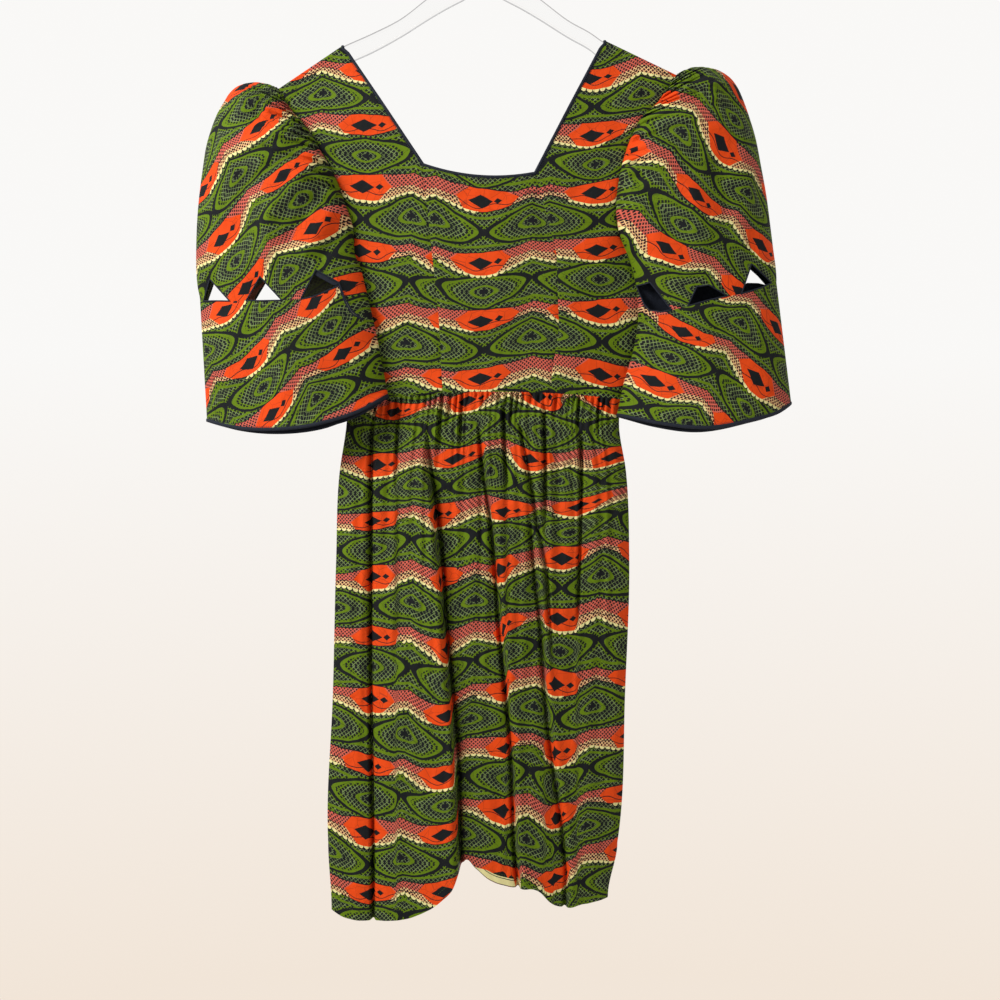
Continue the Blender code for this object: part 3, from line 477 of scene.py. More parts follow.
def cloth_piece(name, x, y, drop, flat_x, flat_y, outside, inside, turned=False,
                thickness=0.5, flatten=(), keep=None, replaced=None):
    """A sheet of cloth from rows of points in millimetres, with its own map of the flat
    cloth. The outside faces the viewer, or away from them when turned. Flatten lists the
    side edges that meet the other face, and keep the cells that are cloth."""
    points = np.stack([x, y, -drop], axis=-1) * MM
    rows, columns = x.shape
    down = np.gradient(points, axis=0)
    across = np.gradient(points, axis=1)
    normals = np.cross(down, across)
    if turned:
        normals = -normals
    for side in flatten:
        normals[:, side, 1] = 0
    length = np.linalg.norm(normals, axis=-1, keepdims=True)
    normals = normals / np.maximum(length, 1e-12)
    inner = points - normals * thickness * MM
    count = rows * columns
    where = np.concatenate([points.reshape(-1, 3), inner.reshape(-1, 3)])
    number = np.arange(count).reshape(rows, columns)
    corners = [number[:-1, :-1], number[1:, :-1], number[1:, 1:], number[:-1, 1:]]
    shown = np.ones((rows - 1, columns - 1), bool) if keep is None else keep
    face = np.stack([corner[shown] for corner in corners], axis=1)
    if turned:
        face = face[:, ::-1]
    start, end = face.ravel(), np.roll(face, -1, axis=1).ravel()
    open_edge = ~np.isin(start * count + end, end * count + start)
    start, end = start[open_edge], end[open_edge]
    rim = np.stack([end, start, start + count, end + count], axis=1)
    faces = np.concatenate([face, face[:, ::-1] + count, rim])
    slots = np.zeros(len(faces), int)
    slots[len(face):2 * len(face)] = 1
    mesh = bpy.data.meshes.new(name)
    mesh.from_pydata(where.tolist(), [], faces.tolist())
    mesh.materials.append(outside)
    mesh.materials.append(inside)
    mesh.polygons.foreach_set("material_index", slots)
    layer = mesh.uv_layers.new(name=CLOTH_MAP)
    flat = np.stack([flat_x, flat_y], axis=-1).reshape(-1, 2)
    at = np.zeros(len(mesh.loops), int)
    mesh.loops.foreach_get("vertex_index", at)
    layer.data.foreach_set("uv", flat[at % count].ravel())
    bm = bmesh.new()
    bm.from_mesh(mesh)
    bmesh.ops.remove_doubles(bm, verts=bm.verts, dist=2e-6)
    bmesh.ops.delete(bm, geom=[v for v in bm.verts if not v.link_faces], context="VERTS")
    bm.to_mesh(mesh)
    bm.free()
    return made(name, mesh, "wax_print", replaced, crease_angle=50)


def bodice_sheet(name, x, drop, face, replaced, turn=0.0, slide=0.0, keep=None):
    """One piece of the bodice, with a seam down both edges in front. Behind, the sides close
    onto the front's below the armholes."""
    left = np.hypot(x - x[:, :1], drop - drop[:, :1])
    right = np.hypot(x - x[:, -1:], drop - drop[:, -1:])
    sign = -1 if face == "front" else 1
    lie = fade(2, 30, drop - shoulder_drop(x))
    above = waist_drop(x) - drop
    sunk = 0.5 * np.exp(-above / 2.0) + 0.5 * np.sin(x * 0.75) * np.exp(-above / 14.0) * lie
    if face == "front":
        sunk += (seam_sink(left, drop) + seam_sink(right, drop)) * lie
    y = body_y(x, drop, face)
    y += sign * (creased(x, drop, BODICE_CREASES[face]) * lie - sunk)
    y = np.where(sign * y < LEAST_DEPTH, sign * LEAST_DEPTH, y)
    if face == "back":
        side_seam = (drop > UNDERARM_DROP) & (np.minimum(left, right) < 0.01)
        y = np.where(side_seam, LEAST_DEPTH, y)
    cos, sin = math.cos(math.radians(turn)), math.sin(math.radians(turn))
    flat_x = (cos * x + sin * drop + slide) * MM
    flat_y = (cos * drop - sin * x + BODICE_PRINT_SHIFT) * MM
    return cloth_piece(name, x, y, drop, flat_x, flat_y, PRINT_FACE, PRINT_REVERSE,
                       turned=face == "back", flatten=(0, -1) if face == "back" else (),
                       keep=keep, replaced=replaced)


left, centre, right, neck_row = bodice_layout("front")
piece = bodice_sheet("bodice_side_front_left", *left, "front", "bodice_front_side_left", 2.5, 11)
piece = bodice_sheet("bodice_side_front_right", *right, "front", "bodice_front_side_right",
                     -2.0, -8)
x, drop = (values[neck_row:] for values in centre)
piece = bodice_sheet("bodice_centre_front", x, drop, "front", "bodice_front_centre")

# The back is one piece: two shoulders that run into one panel below the neckline
left, centre, right, neck_row = bodice_layout("back")
x, drop = (np.hstack([a, b[:, 1:-1], c]) for a, b, c in zip(left, centre, right))
shown = np.ones((x.shape[0] - 1, x.shape[1] - 1), bool)
shown[:neck_row, SIDE_FINE:SIDE_FINE + CENTRE_FINE] = False
piece = bodice_sheet("bodice_back_panel", x, drop, "back", "bodice_back", slide=31, keep=shown)

# Skirt
# Two panels of the printed cotton, gathered by hand-drawn threads onto the waist seam and
# sewn down the sides. The front hangs in three overlapping folds, and its hem rides up there.
SkirtRow = namedtuple("SkirtRow", "below gather fold")
SKIRT_ROWS = named_rows(SkirtRow,
    (0, 0.2, 0.0), (7, 0.8, 0.1), (17, 1.1, 0.3), (38, 1.0, 0.6), (72, 0.7, 1.2),
    (115, 0.3, 1.7), (195, 0.1, 1.2), (300, 0.0, 0.8), (415, 0.0, 0.4), (525, 0.0, 0.3),
    (620, 0.0, 0.3))
Hem = namedtuple("Hem", "out drop")
SKIRT_HEM = named_rows(Hem,
    (-184, 1171), (-167, 1179), (-120, 1182), (-78, 1174), (-48, 1155), (-35, 1140), (-26, 1118),
    (-22, 1112), (-9, 1121), (4, 1132), (30, 1142), (66, 1148), (76, 1159), (117, 1163),
    (150, 1158))
BACK_HEM_RISE = 7.0
FLAT_WIDTH, PRINT_SHIFT = 372.0, 17.0    # cloth between the folds, and where the print sits
SELVEDGE_FROM, SELVEDGE_TO, SELVEDGE_TAPER = -12.0, 42.5, 18.0
GATHERS = 44
GATHER_PITCH = 7.3
SLIT_CLOTH = 0.42               # cloth hidden in a slit, to its depth
SLIT_LENGTHS, SLIT_SHARES = (10, 15, 22, 32, 50, 85), (0.2, 0.22, 0.2, 0.16, 0.14, 0.08)
SKIRT_COLUMNS = GATHERS * 10
SKIRT_LAST, SKIRT_END = 525.0, 620.0    # between these the rows run to the hem's own curve
SIDE_END = 1172.0               # the side seams end at this drop

# A lap of 1 has its left side in front of its right, -1 the other way, 0 is a soft groove.
Fold = namedtuple("Fold", "top_drop top_x mid_drop mid_x end_drop end_x lap depth reach hidden")
FOLDS = {"front": named_rows(Fold,
    (600, -131, 870, -132, 1100, -129, 0, 12, 2.3, 9),
    (690, -131, 870, -131, 1100, -129, 0, 4, 11, 0),
    (600, -69, 890, -40, 1120, -27, 1, 15, 34, 34), (575, -6, 878, 25, 1151, 43, -1, 11, 26, 22),
    (680, 54, 880, 69, 1126, 97, -1, 8, 16, 14), (600, 40, 780, 72, 900, 80, 0, 9, 2.4, 8),
    (610, 113, 730, 112, 860, 108, 0, 11, 2.4, 8), (578, 22, 640, 24, 700, 26, 0, 12, 2.4, 9),
    (578, 70, 650, 71, 740, 70, 0, 11, 2.4, 8), (578, -100, 640, -101, 700, -101, 0, 9, 2.4, 7),
    (640, -98, 740, -96, 900, -92, 0, 4, 10, 0)), "back": named_rows(Fold,
    (640, -120, 880, -116, 1150, -124, 0, 6, 14, 0),
    (620, -40, 880, -52, 1150, -60, 1, 8, 20, 20), (630, 30, 880, 40, 1150, 46, -1, 8, 20, -20),
    (650, 104, 880, 108, 1150, 101, 0, 6, 14, 0))}
SKIRT_CREASES = {
    "front": named_rows(Crease,
        (-150, 640, -158, 860, 9, 2.0), (-112, 650, -118, 820, 7, -1.8),
        (-82, 610, -70, 760, 6, 1.8), (-52, 600, -40, 700, 5, -1.6), (-10, 605, 8, 720, 6, 1.8),
        (16, 600, 24, 690, 5, -1.7), (40, 604, 50, 800, 7, 1.8), (84, 610, 92, 780, 7, -1.9),
        (132, 620, 136, 790, 8, 1.8), (-165, 900, -90, 950, 14, 1.5),
        (-150, 1010, -60, 1060, 13, -1.4), (-100, 860, -60, 1000, 10, 1.6),
        (-90, 1040, -75, 1180, 9, -1.8), (-145, 1060, -140, 1190, 10, 1.8),
        (5, 900, 20, 1100, 9, -1.6), (60, 880, 72, 1140, 8, 1.8), (118, 900, 128, 1160, 9, 1.8),
        (90, 760, 150, 800, 12, -1.2), (-60, 800, -48, 930, 8, 1.4),
        (100, 1000, 150, 1030, 11, -1.2)),
    "back": named_rows(Crease,
        (-150, 620, -154, 840, 9, 2.0), (-90, 620, -96, 800, 8, -1.8),
        (-10, 610, -14, 820, 8, 1.8), (70, 620, 74, 830, 8, -1.8), (130, 640, 134, 880, 9, 1.8),
        (-80, 900, -90, 1150, 10, 1.8), (0, 900, -4, 1120, 10, -1.8),
        (80, 940, 86, 1160, 9, 1.8)),
}


def fold_line(fold, drop):
    return np.interp(drop, (fold.top_drop, fold.mid_drop, fold.end_drop),
                     (fold.top_x, fold.mid_x, fold.end_x))


def fold_shift(x, drop, folds):
    """How far the hanging folds push the cloth in (+) or out (-)."""
    total = np.zeros(x.shape)
    for fold in folds:
        ends = fade(fold.top_drop, fold.top_drop + (90 if fold.reach > 4 else 20), drop)
        if fold.end_drop < 1100:
            ends = ends * (1 - fade(fold.end_drop - 60, fold.end_drop, drop))
        wander = 1.6 * np.sin(drop / 37.0 + fold.top_x) * (fold.lap != 0)
        t = (x - fold_line(fold, drop) - wander) / fold.reach
        if fold.lap == 0:
            total += ends * fold.depth * np.exp(-t * t)
        else:
            across = t * fold.lap * fold.reach
            # A step where the front part laps over, a groove beside its edge, and a low
            # roll along the edge itself
            side = np.where(across < 0, np.exp(np.minimum(across, 0) / 4.5) - 1, np.tanh(across))
            total += ends * fold.depth * 0.7 * side * np.exp(-np.abs(t))
            total += ends * fold.depth * 0.75 * np.exp(-((across - 2.6) / 2.0) ** 2)
            total -= ends * 2.0 * np.exp(-((across + 6.0) / 5.0) ** 2)
    return total


def hidden_cloth(x, drop, folds):
    """Width of cloth that lies out of sight inside the folds to the left of a place."""
    total = np.zeros(x.shape)
    for fold in folds:
        opened = fade(fold.top_drop, fold.top_drop + 160, drop)
        side = 0.5 + 0.5 * np.tanh((x - fold_line(fold, drop)) / 1.5)
        total += opened * abs(fold.hidden) * side
    return total


def gather_phase(below, part):
    phase = math.pi * GATHERS * 2 * (part + 0.004 * np.sin(part * 61) + 0.003 * np.sin(part * 23))
    return phase + 0.5 * np.sin(below / 26.0 + part * 37) * fade(5, 60, below)


def gather_slits(phase, below, face):
    """Between the gathers the cloth dips in narrow slits, most of them short, a few long.
    Returns how deep each place lies in one, and the cloth hidden in the slits to its left."""
    chance = np.random.default_rng(7 if face == "front" else 11)
    length = chance.choice(SLIT_LENGTHS, GATHERS + 3, p=SLIT_SHARES)
    depth = chance.uniform(0.8, 1.2, GATHERS + 3) * (2.6 + 0.085 * length)
    width = 0.8 + 0.1 * depth
    place = phase / (2 * math.pi) - 0.5
    number = np.clip(np.rint(place).astype(int) + 1, 0, GATHERS + 2)
    away = (place - (number - 1)) * GATHER_PITCH
    run = depth * (1 - fade(0.35, 1.0, below / length))
    here = np.take_along_axis(run, number, 1)
    wide = width[number] * (1 + below / 60)
    hidden = SLIT_CLOTH * (np.cumsum(run, axis=1) - run)
    unseen = np.take_along_axis(hidden, number, 1)
    unseen = unseen + SLIT_CLOTH * here * (0.5 + 0.5 * np.tanh(away / 1.2))
    return fade(0, 4, below) * here * np.exp(-(away / wide) ** 2), unseen - hidden[:, -1:] / 2


def skirt_places(face):
    """Rows of x and drop from the waist seam to the hem, and how far each row is below it."""
    below = np.concatenate([np.arange(0, 60, 2.5), np.linspace(60, SKIRT_LAST, 70),
                            np.linspace(SKIRT_LAST, SKIRT_END, 16)[1:]])[:, None]
    part = np.linspace(0, 1, SKIRT_COLUMNS + 1)
    side_drop = np.minimum(waist_drop(-150) + np.minimum(below, SKIRT_LAST), SIDE_END)
    run = np.clip((below - SKIRT_LAST) / (SKIRT_END - SKIRT_LAST), 0, 1)
    left, right = (along(BODY, side, side_drop) for side in ("left", "right"))
    left = left + (along(BODY, "left", SIDE_END) - left) * fade(0, 1, run)
    right = right + (along(BODY, "right", SIDE_END) - right) * fade(0, 1, run)
    x = -left + (left + right) * part
    kept = np.minimum(below, SKIRT_LAST)
    drop = waist_drop(x) * (1 - kept / 600) + WAIST_DROP * kept / 600 + kept
    hem = along(SKIRT_HEM, "drop", x) - (BACK_HEM_RISE if face == "back" else 0)
    return x, drop + (hem - drop) * run, below, part


def skirt_y(x, drop, below, part, face):
    folds = FOLDS[face]
    sign = -1 if face == "front" else 1
    phase = gather_phase(below, part)
    uneven = 0.72 + 0.2 * np.sin(part * 77 + 0.6) + 0.14 * np.sin(part * 131)
    wave = uneven * (np.cos(phase) * along(SKIRT_ROWS, "gather", below)
                     + np.sin(phase / 2 + 0.8 * np.sin(part * 19))
                     * along(SKIRT_ROWS, "fold", below))
    wave = wave - gather_slits(phase, below, face)[0]
    fine = np.sin(part * 2 * math.pi * 71 + 1.7 * np.sin(part * 43))
    wave = wave + 0.7 * fine * np.exp(-below / 7.0)
    edge = np.minimum(part, 1 - part)
    wave = wave + creased(x, drop, SKIRT_CREASES[face])
    y = body_y(x, np.minimum(drop, 1178), face)
    y = y + sign * (wave - fold_shift(x, drop, folds)) * np.minimum(1, edge * 14)
    y = np.where(sign * y < LEAST_DEPTH, sign * LEAST_DEPTH, y)
    return np.where(edge == 0, sign * LEAST_DEPTH, y)


skirt_lines, skirt_pieces = {}, []
for face in ("front", "back"):
    x, drop, below, part = skirt_places(face)
    y = skirt_y(x, drop, below, part, face)
    skirt_lines[face] = x, drop, y
    unseen = hidden_cloth(x, drop, FOLDS[face])
    unseen = unseen + gather_slits(gather_phase(below, part), below, face)[1]
    flat_x = ((part - 0.5) * FLAT_WIDTH + unseen + 3.0 * np.sin(below / 60.0)
              + PRINT_SHIFT) * MM
    flat_y = (drop - 3.0 + 0.3 * unseen + 5.0 * np.sin(part * 14.0) * fade(0, 80, below)) * MM
    piece = cloth_piece("skirt_panel_" + face, x, y, drop, flat_x, flat_y, PRINT_FACE,
                        PRINT_REVERSE, turned=face == "back", flatten=(0, -1),
                        replaced="skirt_" + face)
    skirt_pieces.append(piece)

# The front's hem was cut along the edge of the cloth: where the middle panel hangs back, its
# plain cream selvedge shows, with a thin dark line at each side. The maker's words are left off.
at = np.linspace(SELVEDGE_FROM, SELVEDGE_TO, 121)
height = np.array([0.3, 0.6, 1.5, 3.0, 4.5, 6.0, 7.5, 9.0, 9.6, 9.9])[:, None]
height = height * (0.12 + 0.88 * fade(SELVEDGE_FROM, SELVEDGE_FROM + SELVEDGE_TAPER, at))
hem_drop = along(SKIRT_HEM, "drop", at)
front_x, front_drop, front_y = skirt_lines["front"]
column = np.abs(front_x[-1][:, None] - at).argmin(axis=0)
drop = hem_drop - height[::-1]
y = np.stack([np.interp(drop[:, k], front_drop[:, c], front_y[:, c])
              for k, c in enumerate(column)], axis=1) - 0.35
x = np.broadcast_to(at, drop.shape).copy()
cream = Finish("cream selvedge", Roughness=0.75)
up = cream.y * 1000.0
shade = cream.dye((0.70, 0.64, 0.30), (0.52, 0.47, 0.20), cream.noise(140.0))
for low, high in ((0.2, 1.1), (7.6, 8.6)):
    shade = cream.dye(shade, BLACK, up.between(low, high))
cream.set(Base_Color=shade)
selvedge = cloth_piece("skirt_selvedge", x, y, drop, x * MM, height[::-1] * MM,
                       cream.material, cream.material, thickness=0.25)

# Sleeves
# Puff sleeves of the printed cotton turned on the slant, gathered into the armholes. Their
# lower edge is cut in points that leave small windows above the flared cuffs, and the points,
# windows and cuffs are faced with navy cotton, which shows on their insides.
SleeveRow = namedtuple("SleeveRow", "edge_out edge_drop depth")
SLEEVE_ROWS = {
    -1: named_rows(SleeveRow,
        (240, 214, 0), (256, 208, 8), (272, 207, 14), (287, 211, 20), (297, 219, 25),
        (304, 230, 29), (312, 244, 32), (319, 262, 35), (325, 283, 37), (329, 309, 39),
        (333, 340, 40), (335.5, 370, 40), (336.5, 400, 40), (336.5, 425, 39), (335, 445, 38),
        (332.5, 458, 37), (332, 464, 36)),
    1: named_rows(SleeveRow,
        (225, 198, 0), (236, 192, 8), (249, 189, 14), (262, 190, 20), (275, 193.5, 25),
        (288, 202, 29), (297, 214, 32), (304, 230, 35), (311, 250, 37), (318, 274, 39),
        (324, 305, 40), (330, 338, 40), (334, 368, 40), (338, 400, 39), (341, 422, 38),
        (342, 434, 37), (342, 441, 36)),
}
# The last four rows leave the armhole and follow the fold in front of the bodice
SLEEVE_TAILS = {
    -1: named_rows(Armhole,
        (149, 412, 187, 406), (143, 425, 158, 421), (137, 449, 137, 449), (126, 494, 126, 494)),
    1: named_rows(Armhole,
        (160, 395, 191, 406), (168, 413, 172, 416), (173, 429, 173, 429), (177, 446, 177, 446)),
}
ARMHOLE_END, UNDERARM = 12, 13
Join = namedtuple("Join", "out sleeve cuff")
JOINS = {
    (-1, "front"): named_rows(Join,
        (332, 464, 464), (329.5, 464, 464), (326, 464, 464), (317, 439, 465), (304, 453, 466),
        (291, 467, 467), (271.5, 467, 467), (255, 440, 468), (242, 454, 468), (229, 468, 468),
        (208, 467, 467), (191, 433, 463), (178, 440, 457), (165, 447, 451), (158, 465, 470),
        (150, 479, 483), (138, 488.5, 488.5), (129, 493, 493), (126, 494, 494)),
    (1, "front"): named_rows(Join,
        (342, 441, 441), (340, 441.5, 441.5), (333.5, 443.5, 443.5), (321, 434, 450),
        (307.5, 423.5, 455), (295, 459, 459), (279, 462, 462), (257, 449.5, 467),
        (243, 451.5, 471), (232.5, 474, 474), (215, 478, 478), (203, 461, 479.5),
        (191, 444.5, 477), (185, 446, 470), (179.5, 446.5, 455), (177, 446, 446)),
    (1, "back"): named_rows(Join,
        (342, 441, 441), (340, 441.5, 441.5), (333.5, 443.5, 443.5), (322, 431, 441),
        (309, 420, 441), (298, 449, 449), (280, 456, 456), (268, 461, 461), (256, 464, 464),
        (237, 468, 468), (224, 470, 470), (210, 471, 471), (196.5, 470, 470), (186, 461, 461),
        (179.5, 451, 451), (177, 446, 446)),
}
# The left sleeve's back has the front's edge as far as its third window, which it lacks
JOINS[-1, "back"] = JOINS[-1, "front"][:10] + named_rows(Join,
    (210.5, 465, 465), (190, 466, 466), (170, 472, 472), (151, 482, 482), (138, 488.5, 488.5),
    (129, 493, 493), (126, 494, 494))
SLEEVE_BACK = 0.72              # depth of a sleeve's back, to its front's
FOLD_RISE = 3.2                 # space inside the fold of a sleeve that hangs in front
HEAD_GATHER, HEAD_REACH = 4.6, 34.0    # height of the gathers at the armhole, and their reach
SLANT = 32                      # degrees that the sleeves' print is turned
BACK_SEAM_EASE = 0.3            # share of the cuff that eases to the puff's edge behind
SLEEVE_FINE, JOIN_FINE = 9, 6

SLEEVE_CREASES = {
    -1: named_rows(Crease,
        (-222, 240, -300, 232, 6, 2.9), (-214, 254, -306, 262, 7, -3.2),
        (-204, 268, -300, 300, 7, 3.2), (-196, 284, -290, 350, 8, -3.5),
        (-186, 302, -262, 392, 8, 3.5), (-176, 326, -236, 420, 8, -3.5),
        (-166, 350, -212, 432, 8, 3.2), (-160, 376, -190, 430, 7, -3.2),
        (-300, 250, -318, 420, 12, 3.5), (-270, 300, -286, 440, 12, -3.2),
        (-240, 330, -250, 450, 10, 2.9), (-330, 330, -300, 460, 9, -2.6),
        (-250, 222, -262, 260, 6, -2.6), (-272, 216, -284, 268, 7, 2.6)),
    1: named_rows(Crease,
        (216, 222, 296, 214, 6, 2.9), (208, 234, 304, 246, 7, -3.2),
        (196, 246, 296, 280, 7, 3.2), (182, 262, 286, 330, 8, -3.5),
        (172, 282, 262, 372, 8, 3.5), (164, 306, 236, 410, 8, -3.5),
        (160, 334, 214, 424, 8, 3.2), (158, 360, 194, 424, 7, -3.2),
        (296, 230, 316, 400, 12, 3.5), (266, 280, 284, 424, 12, -3.2),
        (240, 316, 248, 436, 10, 2.9), (326, 310, 300, 436, 9, -2.6),
        (238, 204, 248, 240, 6, -2.6), (258, 198, 268, 246, 7, 2.6)),
}
CUFF_HEMS = {
    -1: named_rows(Hem, (111, 573), (132, 587), (187, 607), (234, 613), (291, 609), (324, 600)),
    1: named_rows(Hem, (154.5, 595), (201, 606), (256, 611), (309, 601), (339, 592), (359, 580)),
}
CUFF_BOW = {-1: (0, 0, 0, 0, 0), 1: (0, 8, 8, 3, 0)}
CUFF_FLARE = 9.0
CUFF_LINES = 56
CUFF_CREASES = {
    -1: named_rows(Crease,
        (-300, 480, -310, 600, 14, 1.8), (-262, 480, -270, 606, 13, -1.8),
        (-222, 480, -224, 606, 13, 1.8), (-180, 484, -172, 596, 12, -1.6),
        (-310, 520, -200, 560, 12, -0.8)),
    1: named_rows(Crease,
        (312, 470, 330, 590, 14, 1.8), (276, 476, 290, 600, 13, -1.8),
        (236, 480, 244, 604, 13, 1.8), (200, 484, 196, 600, 12, -1.6),
        (220, 560, 320, 520, 12, -0.8)),
}


def rest_y(x, drop):
    """How far back a sleeve can hang where the bodice or the skirt lies behind it."""
    edge = side_edge(x, drop)
    clear = 2.8 + 3.0 * fade(-10, 0, drop - waist_drop(x))
    inside = body_y(np.clip(x, -edge + 1e-3, edge - 1e-3), drop, "front") - clear
    outside = -clear + np.maximum(np.abs(x) - edge - 10.0, 0) * 1.1
    return np.where(np.abs(x) < edge, inside, outside)


def fold_y(x, drop):
    return np.minimum(rest_y(x, drop), -2.8) - FOLD_RISE


def sleeve_y(u, inner_y, depth, face, hanging):
    round_part = np.maximum(4 * u * (1 - u), 0.0) ** 0.55
    if face == "front":
        return inner_y * u - depth * round_part
    return inner_y * u + SLEEVE_BACK * depth * round_part * (1 - hanging * u ** 3)


def join_columns(side, face):
    """Columns across the sleeve: its share of the way in, and both edges' drops there."""
    joins = JOINS[side, face]
    first, last = joins[0].out, joins[-1].out
    at = np.linspace(0, len(joins) - 1, (len(joins) - 1) * JOIN_FINE + 1)
    numbers = np.arange(len(joins))
    out, sleeve, cuff = (np.interp(at, numbers, [join[k] for join in joins]) for k in range(3))
    return (first - out) / (first - last), out, sleeve, cuff


def sleeve_places(side, face):
    """Points of half a sleeve: x, y and drop, from the shoulder tip to the pointed edge."""
    edge = SLEEVE_ROWS[side]
    inner = ARMHOLES[side] + SLEEVE_TAILS[side]
    outs = [edge[0].edge_out] + [getattr(a, face + "_out") for a in inner]
    drops = [edge[0].edge_drop] + [getattr(a, face + "_drop") for a in inner]
    sign = -1 if face == "front" else 1
    in_ys = []
    for number, (out, drop) in enumerate(zip(outs, drops)):
        if number > (ARMHOLE_END if face == "front" else UNDERARM + 1):
            in_ys.append(float(fold_y(side * out, drop)) + sign * SEAM_PLANE)
        elif face == "back" and number >= UNDERARM:
            in_ys.append(float(rest_y(side * out, drop)))
        else:
            in_ys.append(float(body_y(side * out, drop, face))
                         - (1.6 if number == ARMHOLE_END and face == "front" else 0.0))
    numbers = np.arange(len(edge))
    n = np.linspace(0, len(edge) - 1, (len(edge) - 1) * SLEEVE_FINE + 1)[:, None]
    edge_out, edge_drop, depth, in_out, in_drop, in_y = (
        curve_through(numbers, values, n) for values in (
            [r.edge_out for r in edge], [r.edge_drop for r in edge], [r.depth for r in edge],
            outs, drops, in_ys))
    if face == "back":
        for values, table in ((in_out, outs), (in_drop, drops), (in_y, in_ys)):
            low = n > ARMHOLE_END
            values[low] = np.interp(n, numbers, table)[low]
    u, _, sleeve_edge, _ = join_columns(side, face)
    out = edge_out + (in_out - edge_out) * u
    drop = edge_drop + (in_drop - edge_drop) * u
    kept_edge, kept_in = edge[ARMHOLE_END].edge_drop, drops[ARMHOLE_END]
    top = kept_edge + (kept_in - kept_edge) * u
    edge_part = (edge_drop - kept_edge) / (edge[-1].edge_drop - kept_edge)
    in_part = (in_drop - kept_in) / (drops[-1] - kept_in)
    lower = top + (sleeve_edge - top) * (edge_part + (in_part - edge_part) * u)
    drop = np.where(n > ARMHOLE_END, lower, drop)
    y = sleeve_y(u, in_y, depth, face, fade(ARMHOLE_END - 1, UNDERARM + 1, n))
    from_seam = np.hypot((edge_out - in_out) * (1 - u), (edge_drop - in_drop) * (1 - u))
    gather = np.sin(2 * math.pi * n * 1.35 + 1.5 * np.sin(n * 2.1))
    gather = (0.7 - 1.9 * np.exp(-((gather + 1) / 0.7) ** 2)) * (0.8 + 0.3 * np.sin(n * 5))
    head = 1 - fade(ARMHOLE_END - 2, ARMHOLE_END, n)
    rise = np.minimum(from_seam / 5, 1) * np.exp(-from_seam / HEAD_REACH) * np.minimum(14 * u, 1)
    y = y + sign * HEAD_GATHER * gather * rise * head
    y = y - sign * 0.8 * np.exp(-from_seam / 2.0) * head * np.minimum(14 * u, 1)
    x = side * out
    y = y + sign * creased(x, drop, SLEEVE_CREASES[side]) * np.minimum(from_seam / 12, 1) \
        * np.minimum(8 * u, 1) * fade(0.5, 3, n)
    if face == "back":
        limit = in_y + from_seam * np.interp(n, (11, 12, 13), (2.5, 0.45, 0.12))
        y = np.where(n >= ARMHOLE_END - 1, np.minimum(y, np.maximum(limit, in_y)), y)
        y = np.where(n > UNDERARM, np.minimum(y, rest_y(x, drop)), y)
    y = np.where(u == 0, sign * LEAST_DEPTH, y)
    return x, y, drop


def cuff_places(side, face):
    """Points of half a cuff: x, y and drop, from its seam with the sleeve to its hem."""
    u, join_out, _, cuff_edge = join_columns(side, face)
    hem, depth = CUFF_HEMS[side], SLEEVE_ROWS[side][-1].depth
    sign = -1 if face == "front" else 1
    v = np.linspace(0, 1, CUFF_LINES + 1)[:, None]
    bow = curve_through(np.linspace(0, 1, 5), CUFF_BOW[side], v)
    hem_out = hem[-1].out + (hem[0].out - hem[-1].out) * u
    out = join_out + (hem_out - join_out) * v + bow * u
    drop = cuff_edge + (along(hem, "drop", hem_out) - cuff_edge) * v
    in_y = fold_y(side * out[:, -1:], drop[:, -1:]) + sign * SEAM_PLANE
    y = sleeve_y(u, in_y, depth + CUFF_FLARE * v, face, 1.0)
    x = side * out
    y = y + sign * creased(x, drop, CUFF_CREASES[side]) * np.minimum(8 * u, 1) \
        * np.minimum(8 * (1 - u), 1) * fade(0, 0.1, v)
    if face == "back":
        y = np.where(u < 1, np.minimum(y, rest_y(x, drop)), y)
        seam_y = sleeve_places(side, face)[1][-1]
        y = y + (seam_y - y[0]) * (1 - fade(0, BACK_SEAM_EASE, v))
    y = np.where(u == 0, sign * LEAST_DEPTH, y)
    return x, y, drop


def on_the_slant(x, y, drop, side, slide):
    """The flat cloth below a sleeve or cuff, with the print turned to run up and outwards."""
    angle = math.radians(SLANT * -side)
    wide = x * 1.15 + side * 0.4 * y
    return ((math.cos(angle) * wide - math.sin(angle) * drop + slide) * MM,
            (math.sin(angle) * wide + math.cos(angle) * drop) * MM)


navy = Finish("navy cotton", Roughness=0.72, Specular_IOR_Level=0.2)
crumpled = navy.bump(navy.noise(60.0, 3.0), 0.002, 0.5)
navy.set(Base_Color=navy.dye((0.006, 0.008, 0.015), (0.013, 0.017, 0.029),
                             navy.noise(120.0, 3.0)),
         Normal=navy.bump((navy.x + navy.y).wave(0.0006), 0.00008, 0.6, crumpled))
NAVY = navy.material

Half = namedtuple("Half", "name node places slide flat area rests_on")
HALVES = (
    Half("puff", "sleeve", sleeve_places, 40, (0.24, 0.30), 0.052, "hanger_plate"),
    Half("flared_cuff", "cuff", cuff_places, -30, (0.26, 0.16), 0.034, "puff"),
)
for side, label in ((-1, "left"), (1, "right")):
    for face in ("front", "back"):
        for half in HALVES:
            x, y, drop = half.places(side, face)
            if side > 0:
                x, y, drop = x[:, ::-1], y[:, ::-1], drop[:, ::-1]
            unlined = half.name == "puff" and label == "left" and face == "back"
            piece = cloth_piece(
                f"{half.name}_{label}_{face}", x, y, drop,
                *on_the_slant(x, y, drop, side, half.slide), PRINT_FACE,
                PRINT_REVERSE if unlined else NAVY, turned=face == "back",
                flatten=(0 if side < 0 else -1,), replaced=f"{half.node}_{label}_{face}")
            below = f"_{label}_{face}" if half.rests_on == "puff" else ""
            half.rests_on + below

